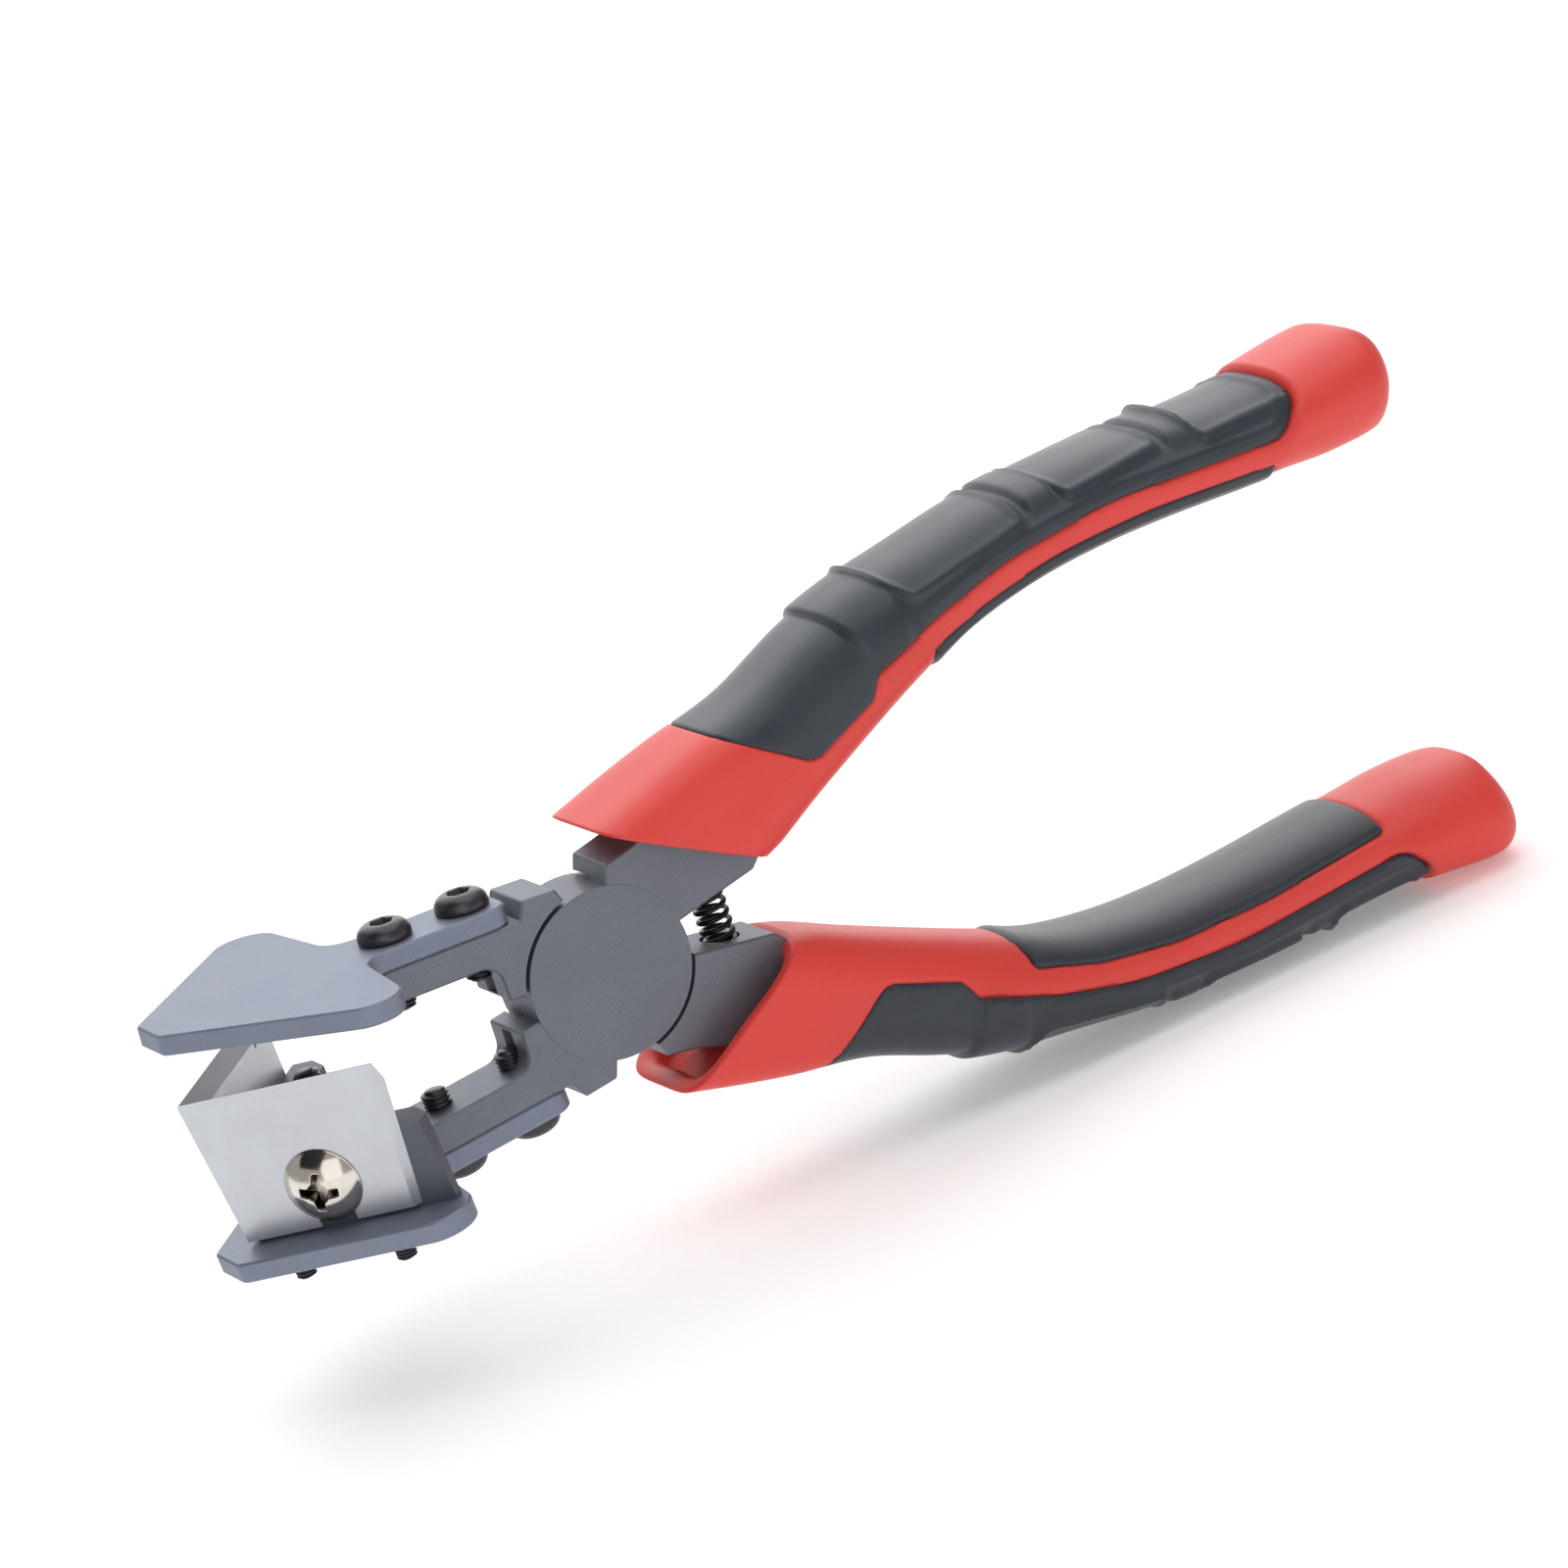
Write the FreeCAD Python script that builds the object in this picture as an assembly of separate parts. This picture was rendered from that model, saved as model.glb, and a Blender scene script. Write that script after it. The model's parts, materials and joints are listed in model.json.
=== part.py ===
import FreeCAD, Part
import math
import os
from FreeCAD import Vector, Rotation, Placement

# Strip and tile-trim nippers: two crossed levers on one pivot, a flat anvil plate on the upper jaw,
# a V-bent blade on the lower jaw, and two-part moulded grips.  All sizes are in millimetres.
#
# Working frame while modelling: X runs from the jaws (-) to the handles (+), Z is up, and the pivot
# axis is the Y axis through the origin, with Y = 0 half way through the head.  Each solid is moved by
# FACE_TO_MIDDLE at the end, so that the saved origin is on the pivot axis at the front joint face.
# The lever called "front" has its half of the lap joint at the front (-Y), the lower jaw and the
# upper handle.  The other lever is the same forging turned over about the X axis.

# ---- head and joint ----
HEAD_THICKNESS = 11.0
EDGE_BREAK = 0.3            # chamfer along the outline of the forgings
JOINT_BOSS = 0.1            # the round joint faces are ground this far above the head
DISC_RADIUS = 12.5
DISC_GAP = 0.6              # radial gap between a disc and the recess in the other lever
LAP_GAP = 0.04              # gap between the two half-thickness discs
PIVOT_RADIUS = 4.0
PIVOT_CLEARANCE = 0.05
JAW_TILT = 3.5              # each jaw stands this far open from parallel, in degrees

# ---- jaw arms, in the frame of a closed (parallel) lower jaw ----
SEAT_HEIGHT = 11.9          # pivot plane to the seat of the plate
ARM_INNER_HEIGHT = 7.1
ARM_END_X = -40.5
NOSE_X = -15.6
NOSE_HEIGHT = 1.5
BLOCK_X = -11.2             # step that the tail of the plate butts against
BLOCK_HEIGHT = 14.5

# ---- anvil plate and base plate ----
PLATE_THICKNESS = 3.0
PLATE_TIP_X = -65.8
PLATE_TIP_HALF = 4.0
PLATE_HALF_WIDTH = 26.0
PLATE_BACK_X = -37.0
PLATE_TAIL_X = -11.9
PLATE_SCREW_X = (-28.9, -16.8)

# ---- M4 button-head screws ----
M4_RADIUS = 2.0
M4_LENGTH = 10.0
M4_HEAD_RADIUS = 3.9
M4_HEAD_HEIGHT = 2.6
M4_SOCKET = 2.5
M4_CLAMP_LENGTH = 21.5
CLAMP_SCREW_X = -45.0

# ---- V blade ----
BLADE_THICKNESS = 1.0
BLADE_HEIGHT = 22.4
BLADE_LIFT = 0.6
BLADE_VERTEX_X = -61.8      # fold line at the foot of the blade
BLADE_RAKE = 0.087          # the fold line leans this much towards the tip per unit of height
BLADE_END_TOP = 21.2        # half width across the V at the top edge
BLADE_END_FOOT = 18.2       # half width across the V at the foot
BEVEL_HEIGHT = 3.0
BEVEL_EDGE = 0.15
MARK_HOLE_RADIUS = 0.35

# ---- blade holder ----
HOLDER_HEIGHT = 12.5
HOLDER_WALL = 6.0
HOLDER_FLAP_LENGTH = 32.0   # from the fold line to the square end of each wall
HOLDER_BACK_X = -37.3       # the walls are cut off square behind this
STEM_HALF_WIDTH = 5.5
STEM_END_X = -40.6
M3_RADIUS = 1.5
M3_HEAD_RADIUS = 2.8
M3_POINT_DROP = 5.0         # how far the M3 points stand out under the base plate
M3_PLACES = ((-55.8, 0.0), (-45.1, 12.0), (-45.1, -12.0))

# ---- M5 truss-head blade screws ----
M5_RADIUS = 2.5
M5_LENGTH = 8.0
M5_HEAD_RADIUS = 5.6
M5_HEAD_HEIGHT = 2.8
M5_ALONG = 14.4             # from the fold line, along the flap
M5_UP = 6.2                 # above the foot of the blade
CROSS_LENGTH = 5.4
CROSS_WIDTH = 1.1
CROSS_DEPTH = 1.7
SLOT_RADIUS = 2.8

# ---- shank and tang of a lever, upper handle ----
SHOULDER_START_Z = 2.7
SHOULDER_END = (25.3, 5.0)
TANG_HALF_THICKNESS = 3.5
TANG_START_X = 31.0

# ---- return spring ----
SPRING_X = 19.3
SPRING_RADIUS = 2.2         # to the middle of the wire
WIRE_RADIUS = 0.4
SPRING_TURNS = 5.5
SEAT_RADIUS = 2.9
SEAT_FLOOR_Z = 5.6

# ---- grips, upper handle: stations as outer crown, inner crown and half width ----
GRIP_STATIONS = (
    ((1.5, 19.6), (8.5, 1.6), 11.0),
    ((20.5, 25.3), (27.5, 5.9), 11.0),
    ((32.5, 28.0), (39.5, 11.4), 10.9),
    ((44.3, 33.1), (51.7, 17.1), 11.3),
    ((53.3, 36.2), (58.7, 20.0), 11.6),
    ((64.2, 37.7), (67.8, 24.0), 12.1),
    ((77.2, 39.7), (78.8, 26.3), 12.2),
    ((89.8, 40.3), (90.2, 27.2), 12.2),
    ((102.3, 40.1), (101.7, 26.9), 12.3),
    ((114.4, 39.2), (113.6, 26.2), 12.5),
    ((121.8, 39.2), (122.2, 25.6), 12.6),
    ((127.2, 40.6), (128.8, 25.6), 12.6),
    ((133.2, 41.5), (134.8, 25.9), 12.6),
    ((138.2, 41.5), (139.8, 27.0), 11.9),
    ((141.5, 39.9), (142.5, 29.1), 9.5),
)
SECTION_POWER = 2.6         # superellipse exponent of a grip section
SECTION_POINTS = 16
COVER_DEPTH = 2.2           # thickness of the soft mouldings over the hard grip body
HOOD_DEPTH = 3.5            # depth of the hollow behind the mouth of the collar
MOUTH_OUTER = (3.5, 20.2)   # the mouth is cut along the line between these two points
MOUTH_INNER = (26.3, 7.2)

HALF = HEAD_THICKNESS / 2
FACE_TO_MIDDLE = HALF + JOINT_BOSS
X_AXIS = Vector(1, 0, 0)
Y_AXIS = Vector(0, 1, 0)
Z_AXIS = Vector(0, 0, 1)
FAR = 60.0                  # longer than any cut needs


def rounded_wire(corners, place):
    """Closed wire through corners (a, b, radius), each corner rounded; place maps (a, b) to 3-D."""
    count = len(corners)
    starts = []
    ends = []
    middles = []
    for i, (a, b, radius) in enumerate(corners):
        here = Vector(a, b, 0)
        before = Vector(*corners[i - 1][:2], 0) - here
        after = Vector(*corners[(i + 1) % count][:2], 0) - here
        before.normalize()
        after.normalize()
        half_angle = before.getAngle(after) / 2
        reach = radius / math.tan(half_angle)
        bisector = before + after
        if radius > 0:
            bisector.normalize()
        starts.append(here + before * reach)
        ends.append(here + after * reach)
        middles.append(here + bisector * (radius / math.sin(half_angle) - radius))
    edges = []
    for i in range(count):
        if corners[i][2] > 0:
            edges.append(Part.Arc(place(starts[i]), place(middles[i]), place(ends[i])).toShape())
        edges.append(Part.makeLine(place(ends[i]), place(starts[(i + 1) % count])))
    return Part.Wire(edges)


def side_prism(corners, low_y, high_y):
    """Solid with an outline in X and Z, from low_y to high_y."""
    wire = rounded_wire(corners, lambda p: Vector(p.x, low_y, p.y))
    return Part.Face(wire).extrude(Vector(0, high_y - low_y, 0))


def plan_prism(corners, low_z, height, lean=0.0):
    """Solid with an outline in X and Y, from low_z upwards; lean shears it towards -X."""
    wire = rounded_wire(corners, lambda p: Vector(p.x, p.y, low_z))
    return Part.Face(wire).extrude(Vector(-lean * height, 0, height))


def cross_cylinder(radius, low_y, high_y):
    """Cylinder on the pivot axis."""
    return Part.makeCylinder(radius, high_y - low_y, Vector(0, low_y, 0), Y_AXIS)


def turned_over(shape):
    """The same shape turned half a turn about the X axis."""
    copy = shape.copy()
    copy.rotate(Vector(0, 0, 0), X_AXIS, 180)
    return copy


def jaw_to_rest(shape):
    """Move a shape of the closed lower jaw to its open rest position."""
    copy = shape.copy()
    copy.rotate(Vector(0, 0, 0), Y_AXIS, -JAW_TILT)
    return copy


# ---------------------------------------------------------------- levers

def broken_edges(prism):
    """The prism with the edges of its two flat sides chamfered."""
    edges = [e for e in prism.Edges if e.BoundBox.YLength < EDGE_BREAK]
    return prism.makeChamfer(EDGE_BREAK, edges)


def jaw():
    corners = (
        (0.0, 0.0, 0),
        (-12.3, -1.3, 0),
        (NOSE_X, -NOSE_HEIGHT, 0.5),
        (NOSE_X - 0.4, -ARM_INNER_HEIGHT, 2.8),
        (ARM_END_X, -ARM_INNER_HEIGHT, 0.6),
        (ARM_END_X, -SEAT_HEIGHT, 0),
        (BLOCK_X, -SEAT_HEIGHT, 0.3),
        (BLOCK_X + 1.1, -BLOCK_HEIGHT, 0.5),
        (-4.9, -BLOCK_HEIGHT + 0.2, 0.5),
        (-3.9, -12.0, 0),
    )
    return jaw_to_rest(broken_edges(side_prism(corners, -HALF, HALF)))


def shank():
    shank_corners = (
        (0.0, 0.0, 0),
        (3.3, 12.2, 0),
        (4.2, 14.8, 0.5),
        (8.7, 15.7, 2.0),
        (TANG_START_X, 24.0, 1.0),
        (TANG_START_X + 4.0, 13.0, 1.0),
        (27.2, 8.6, 1.0),
        (26.7, 6.4, 0.8),
        (*SHOULDER_END, 0.8),
        (12.6, SHOULDER_START_Z, 0),
    )
    tang_corners = (
        (20.0, 19.0, 0),
        (TANG_START_X, 23.8, 10.0),
        (52.0, 30.6, 20.0),
        (80.0, 35.8, 30.0),
        (119.0, 34.6, 1.5),
        (119.0, 30.4, 1.5),
        (84.0, 31.2, 30.0),
        (58.0, 24.6, 20.0),
        (36.0, 13.6, 10.0),
        (24.0, 9.0, 0),
    )
    wide = broken_edges(side_prism(shank_corners, -HALF, HALF))
    narrow = side_prism(tang_corners, -TANG_HALF_THICKNESS, TANG_HALF_THICKNESS)
    return wide.fuse(narrow)


def plate_screw_holes(radius):
    holes = []
    for x in PLATE_SCREW_X:
        hole = Part.makeCylinder(radius, FAR, Vector(x, 0, -FAR - 2), Z_AXIS)
        holes.append(jaw_to_rest(hole))
    return holes


def front_lever():
    disc = cross_cylinder(DISC_RADIUS, -HALF - JOINT_BOSS, -LAP_GAP / 2)
    recess = cross_cylinder(DISC_RADIUS + DISC_GAP, -LAP_GAP / 2, HALF + 1)
    spring_seat = Part.makeCylinder(SEAT_RADIUS, SEAT_FLOOR_Z, Vector(SPRING_X, 0, 0), Z_AXIS)
    lever = jaw().fuse(shank()).cut(recess).fuse(disc)
    lever = lever.cut(spring_seat).cut(plate_screw_holes(M4_RADIUS))
    return lever.removeSplitter()


def pivot_rivet():
    return cross_cylinder(PIVOT_RADIUS, -HALF - JOINT_BOSS, HALF + JOINT_BOSS)


# ---------------------------------------------------------------- plates and their screws

def jaw_plate(extra_holes=()):
    """Arrow-shaped plate under the closed lower jaw, with a tail along the arm."""
    flank_x = PLATE_TIP_X + PLATE_HALF_WIDTH - PLATE_TIP_HALF
    half = (
        (PLATE_TIP_X, PLATE_TIP_HALF, 2.0),
        (flank_x, PLATE_HALF_WIDTH, 5.0),
        (PLATE_BACK_X, PLATE_HALF_WIDTH, 5.0),
        (PLATE_BACK_X + 2.0, HALF, 4.0),
        (PLATE_TAIL_X, HALF, 3.0),
    )
    other = tuple((x, -y, radius) for x, y, radius in reversed(half))
    plate = plan_prism(half + other, -SEAT_HEIGHT - PLATE_THICKNESS, PLATE_THICKNESS)
    edges = [e for e in plate.Edges if abs(e.BoundBox.ZLength) < 1e-6]
    plate = plate.makeChamfer(0.3, edges)
    holes = [(x, 0.0, M4_RADIUS + 0.15) for x in PLATE_SCREW_X]
    for x, y, radius in holes + list(extra_holes):
        plate = plate.cut(Part.makeCylinder(radius, FAR, Vector(x, y, -FAR), Z_AXIS))
    return jaw_to_rest(plate)


def button_screw(x, length):
    """M4 button-head socket screw, pointing up from the outer face of the plate."""
    face_z = -SEAT_HEIGHT - PLATE_THICKNESS
    rim = 0.9
    profile = [
        Part.makeLine(Vector(0, 0, 0), Vector(M4_HEAD_RADIUS, 0, 0)),
        Part.makeLine(Vector(M4_HEAD_RADIUS, 0, 0), Vector(M4_HEAD_RADIUS, 0, -rim)),
        Part.Arc(Vector(M4_HEAD_RADIUS, 0, -rim),
                 Vector(M4_HEAD_RADIUS * 0.82, 0, -M4_HEAD_HEIGHT * 0.8),
                 Vector(M4_HEAD_RADIUS * 0.5, 0, -M4_HEAD_HEIGHT)).toShape(),
        Part.makeLine(Vector(M4_HEAD_RADIUS * 0.5, 0, -M4_HEAD_HEIGHT), Vector(0, 0, -M4_HEAD_HEIGHT)),
        Part.makeLine(Vector(0, 0, -M4_HEAD_HEIGHT), Vector(0, 0, 0)),
    ]
    head = Part.Face(Part.Wire(profile)).revolve(Vector(0, 0, 0), Z_AXIS, 360)
    socket_corner = M4_SOCKET / math.sqrt(3)
    hexagon = [Vector(socket_corner * math.cos(k * math.pi / 3), socket_corner * math.sin(k * math.pi / 3),
                      -M4_HEAD_HEIGHT - 1) for k in range(7)]
    socket = Part.Face(Part.makePolygon(hexagon)).extrude(Vector(0, 0, 2.5))
    stem = Part.makeCylinder(M4_RADIUS, length, Vector(0, 0, 0), Z_AXIS)
    point = Part.makeCone(M4_RADIUS, M4_RADIUS - 0.4, 0.4, Vector(0, 0, length), Z_AXIS)
    screw = head.cut(socket).fuse(stem).fuse(point).removeSplitter()
    screw.translate(Vector(x, 0, face_z))
    return jaw_to_rest(screw)


# ---------------------------------------------------------------- blade, holder and their screws

def blade_foot_z():
    return -SEAT_HEIGHT + BLADE_LIFT


def vee(offset, reach, low_z, height):
    """Leaning wedge behind the V: offset is its distance inside the outer face, reach its depth in X."""
    tip_x = BLADE_VERTEX_X + offset * math.sqrt(2) - BLADE_RAKE * (low_z - blade_foot_z())
    corners = ((tip_x, 0, 0), (tip_x + reach, reach, 0), (tip_x + reach, -reach, 0))
    return plan_prism(corners, low_z, height, BLADE_RAKE)


def on_front_flap(shape):
    """Place a shape drawn with X along the front flap, Y up it and Z out of its outer face."""
    along = Vector(math.sqrt(0.5), -math.sqrt(0.5), 0)
    fold = Vector(-BLADE_RAKE, 0, 1)
    outward = along.cross(fold)
    outward.normalize()
    up = outward.cross(along)
    turn = Rotation(along, up, outward, "ZXY")
    place = Placement(Vector(BLADE_VERTEX_X, 0, blade_foot_z()), turn)
    return shape.transformGeometry(place.toMatrix())


def on_flap(shape, side):
    """The same on the front flap (side -1) or mirrored on the rear flap (side 1)."""
    placed = on_front_flap(shape)
    if side > 0:
        placed = placed.mirror(Vector(0, 0, 0), Y_AXIS)
    return placed


def bevel_cutter():
    """Everything inside a wall that thins towards the top edge of the blade."""
    start_z = blade_foot_z() + BLADE_HEIGHT - BEVEL_HEIGHT
    wires = []
    for z, offset in ((start_z, BLADE_THICKNESS), (start_z + BEVEL_HEIGHT, BEVEL_EDGE)):
        tip_x = BLADE_VERTEX_X + offset * math.sqrt(2) - BLADE_RAKE * (z - blade_foot_z())
        reach = FAR
        points = [Vector(tip_x, 0, z), Vector(tip_x + reach, reach, z), Vector(tip_x + reach, -reach, z)]
        wires.append(Part.makePolygon(points + points[:1]))
    return Part.makeLoft(wires, True, True)


def end_trimmer(side):
    """Block beyond the leaning end edge of one flap."""
    low_z = blade_foot_z()
    slope = (BLADE_END_TOP - BLADE_END_FOOT) / BLADE_HEIGHT
    foot = BLADE_END_FOOT - slope * 2
    top = BLADE_END_TOP + slope * 2
    points = [(side * foot, low_z - 2), (side * top, low_z + BLADE_HEIGHT + 2),
              (side * FAR, low_z + BLADE_HEIGHT + 2), (side * FAR, low_z - 2)]
    wire = Part.makePolygon([Vector(-FAR * 2, y, z) for y, z in points + points[:1]])
    return Part.Face(wire).extrude(Vector(FAR * 2, 0, 0))


def v_blade():
    blade = vee(0, FAR, blade_foot_z(), BLADE_HEIGHT)
    blade = blade.cut(vee(BLADE_THICKNESS, FAR + 2, blade_foot_z() - 1, BLADE_HEIGHT + 2))
    blade = blade.cut(bevel_cutter())
    for side in (-1, 1):
        round_end = Part.makeCylinder(SLOT_RADIUS, 6, Vector(M5_ALONG, M5_UP, -3), Z_AXIS)
        channel = Part.makeBox(2 * SLOT_RADIUS, M5_UP + 2, 6, Vector(M5_ALONG - SLOT_RADIUS, -2, -3))
        blade = blade.cut(on_flap(round_end.fuse(channel), side)).cut(end_trimmer(side))
    mark = Part.makeCylinder(MARK_HOLE_RADIUS, 6, Vector(24, BLADE_HEIGHT - 3.6, -3), Z_AXIS)
    return jaw_to_rest(blade.cut(on_flap(mark, 1)))


def screw_in_holder(x, y):
    """M3 countersunk screw from the top of the holder, its point below the base plate."""
    top_z = -SEAT_HEIGHT + HOLDER_HEIGHT
    point_z = -SEAT_HEIGHT - PLATE_THICKNESS - M3_POINT_DROP
    head_height = M3_HEAD_RADIUS - M3_RADIUS
    stem = Part.makeCylinder(M3_RADIUS, top_z - point_z, Vector(x, y, point_z), Z_AXIS)
    head = Part.makeCone(M3_RADIUS, M3_HEAD_RADIUS, head_height, Vector(x, y, top_z - head_height), Z_AXIS)
    return stem.fuse(head).removeSplitter()


def m3_with_sockets():
    socket_depth = 1.0
    top_z = -SEAT_HEIGHT + HOLDER_HEIGHT
    screws = []
    for x, y in M3_PLACES:
        socket = Part.makeCylinder(1.0, socket_depth + 1, Vector(x, y, top_z - socket_depth), Z_AXIS)
        screws.append(jaw_to_rest(screw_in_holder(x, y).cut(socket)))
    return Part.makeCompound(screws)


def blade_holder():
    low_z = -SEAT_HEIGHT
    outer = vee(BLADE_THICKNESS, FAR, low_z, HOLDER_HEIGHT)
    inner = vee(BLADE_THICKNESS + HOLDER_WALL, FAR + 2, low_z - 1, HOLDER_HEIGHT + 2)
    ends_x = BLADE_VERTEX_X + HOLDER_FLAP_LENGTH * math.sqrt(2)
    square_ends = ((ends_x, 0, 0), (ends_x - FAR, -FAR, 0), (ends_x - FAR, FAR, 0))
    walls = outer.cut(inner).common(plan_prism(square_ends, low_z, HOLDER_HEIGHT, BLADE_RAKE))
    in_front = Part.makeBox(FAR, 2 * FAR, 2 * FAR, Vector(HOLDER_BACK_X - FAR, -FAR, -FAR))
    walls = walls.common(in_front)
    stem_start = BLADE_VERTEX_X + 6
    stem = Part.makeBox(STEM_END_X - stem_start, 2 * STEM_HALF_WIDTH, HOLDER_HEIGHT,
                        Vector(stem_start, -STEM_HALF_WIDTH, low_z))
    holder = walls.fuse(stem.common(outer)).removeSplitter()
    for x, y in M3_PLACES:
        holder = holder.cut(screw_in_holder(x, y))
    holder = holder.cut(Part.makeCylinder(M4_RADIUS, FAR, Vector(CLAMP_SCREW_X, 0, -FAR / 2), Z_AXIS))
    for side in (-1, 1):
        tapped = Part.makeCylinder(M5_RADIUS, M5_LENGTH, Vector(M5_ALONG, M5_UP, -M5_LENGTH), Z_AXIS)
        holder = holder.cut(on_flap(tapped, side))
    return jaw_to_rest(holder)


def blade_screw(side):
    """M5 truss-head screw with a cross recess, through a flap into the holder."""
    dome_radius = (M5_HEAD_RADIUS ** 2 + M5_HEAD_HEIGHT ** 2) / (2 * M5_HEAD_HEIGHT)
    ball = Part.makeSphere(dome_radius, Vector(0, 0, M5_HEAD_HEIGHT - dome_radius))
    head = ball.common(Part.makeCylinder(M5_HEAD_RADIUS, M5_HEAD_HEIGHT + 1))
    for angle in (0, 90):
        bar = Part.makeBox(CROSS_LENGTH, CROSS_WIDTH, CROSS_DEPTH + 1,
                           Vector(-CROSS_LENGTH / 2, -CROSS_WIDTH / 2, M5_HEAD_HEIGHT - CROSS_DEPTH))
        bar.rotate(Vector(0, 0, 0), Z_AXIS, angle + 8)
        head = head.cut(bar)
    stem = Part.makeCylinder(M5_RADIUS, M5_LENGTH, Vector(0, 0, -M5_LENGTH))
    screw = head.fuse(stem).removeSplitter()
    screw.translate(Vector(M5_ALONG, M5_UP, 0))
    return jaw_to_rest(on_flap(screw, side))


# ---------------------------------------------------------------- return spring

def return_spring():
    length = 2 * (SEAT_FLOOR_Z - WIRE_RADIUS - 0.05)
    helix = Part.makeHelix(length / SPRING_TURNS, length, SPRING_RADIUS)
    start = Vector(SPRING_RADIUS, 0, 0)
    section = Part.Wire(Part.makeCircle(WIRE_RADIUS, start, Y_AXIS))
    spring = Part.Wire(helix).makePipeShell([section], True, True)
    spring.translate(Vector(SPRING_X, 0, -length / 2))
    return spring


# ---------------------------------------------------------------- grips

def grip_section(station, inset):
    """Superellipse wire through the outer and inner crown of one station."""
    outer, inner, half_width = station
    top = Vector(outer[0], 0, outer[1])
    bottom = Vector(inner[0], 0, inner[1])
    centre = (top + bottom) * 0.5
    up = top - centre
    half_height = up.Length
    up.normalize()
    points = []
    for k in range(SECTION_POINTS):
        angle = 2 * math.pi * k / SECTION_POINTS
        across = math.copysign(abs(math.cos(angle)) ** (2 / SECTION_POWER), math.cos(angle))
        along = math.copysign(abs(math.sin(angle)) ** (2 / SECTION_POWER), math.sin(angle))
        points.append(centre + Y_AXIS * (across * (half_width - inset)) + up * (along * (half_height - inset)))
    curve = Part.BSplineCurve()
    curve.interpolate(points, PeriodicFlag=True)
    return Part.Wire(curve.toShape())


def grip_loft(inset, stations=GRIP_STATIONS):
    return Part.makeLoft([grip_section(station, inset) for station in stations], True, False)


def beyond_mouth(shift):
    """Block on the head side of the mouth line, moved towards the handle by shift."""
    along = Vector(MOUTH_OUTER[0] - MOUTH_INNER[0], 0, MOUTH_OUTER[1] - MOUTH_INNER[1])
    along.normalize()
    towards_handle = Vector(along.z, 0, -along.x)
    start = Vector(MOUTH_INNER[0], 0, MOUTH_INNER[1]) - along * FAR + towards_handle * shift
    corners = [start, start + along * FAR * 3, start + along * FAR * 3 - towards_handle * FAR,
               start - towards_handle * FAR]
    face = Part.Face(Part.makePolygon([c - Y_AXIS * FAR / 2 for c in corners + corners[:1]]))
    return face.extrude(Vector(0, FAR, 0))


def cover_region():
    corners = (
        (20.5, 33.0, 0),
        (36.6, 17.2, 3.0),
        (48.2, 21.8, 2.0),
        (50.0, 25.2, 2.0),
        (62.0, 29.8, 20.0),
        (74.0, 33.0, 40.0),
        (92.0, 34.6, 60.0),
        (121.5, 32.9, 3.0),
        (127.0, 37.5, 3.0),
        (124.5, 50.0, 0),
        (20.5, 50.0, 0),
    )
    return side_prism(corners, -FAR / 2, FAR / 2)


def pad_region():
    corners = (
        (59.9, 10.0, 0),
        (59.9, 24.9, 0.8),
        (70.0, 28.3, 20.0),
        (82.0, 30.4, 40.0),
        (98.0, 30.7, 60.0),
        (119.4, 29.0, 0.8),
        (119.4, 10.0, 0),
    )
    return side_prism(corners, -FAR / 2, FAR / 2)


def upper_grip(steel):
    """Hard body, soft outer cover and soft inner pad round the steel of one lever."""
    whole = grip_loft(0.0).cut(beyond_mouth(0.0))
    core = grip_loft(COVER_DEPTH)
    skin = whole.cut(core)
    cover = skin.common(cover_region())
    pad = skin.common(pad_region())
    hollow = core.common(beyond_mouth(HOOD_DEPTH))
    body = whole.cut(cover).cut(pad).cut(hollow).cut(steel)
    return body, cover, pad


# ---------------------------------------------------------------- assembly

def assemble():
    lever = front_lever()
    rivet = pivot_rivet()
    rivet_hole = cross_cylinder(PIVOT_RADIUS + PIVOT_CLEARANCE, -FAR, FAR)
    body, cover, pad = upper_grip(lever)
    rear_lever = turned_over(lever).cut(rivet_hole)
    m3_holes = [(x, y, M3_RADIUS) for x, y in M3_PLACES]
    clamp_hole = (CLAMP_SCREW_X, 0.0, M4_RADIUS)
    nodes = {
        "lower_jaw_lever": lever.cut(rivet),
        "upper_jaw_lever": rear_lever,
        "pivot_rivet": rivet,
        "return_spring": return_spring(),
        "base_plate": jaw_plate(m3_holes + [clamp_hole]),
        "base_screw_outer": button_screw(PLATE_SCREW_X[0], M4_LENGTH),
        "base_screw_inner": button_screw(PLATE_SCREW_X[1], M4_LENGTH),
        "holder_clamp_screw": button_screw(CLAMP_SCREW_X, M4_CLAMP_LENGTH),
        "blade_holder": blade_holder(),
        "holder_screws": m3_with_sockets(),
        "v_blade": v_blade(),
        "blade_screw_front": blade_screw(-1),
        "blade_screw_rear": blade_screw(1),
        "anvil_plate": turned_over(jaw_plate()),
        "anvil_screw_outer": turned_over(button_screw(PLATE_SCREW_X[0], M4_LENGTH)),
        "anvil_screw_inner": turned_over(button_screw(PLATE_SCREW_X[1], M4_LENGTH)),
        "upper_grip_body": body,
        "upper_grip_cover": cover,
        "upper_grip_pad": pad,
        "lower_grip_body": turned_over(body),
        "lower_grip_cover": turned_over(cover),
        "lower_grip_pad": turned_over(pad),
    }
    return nodes


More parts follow.
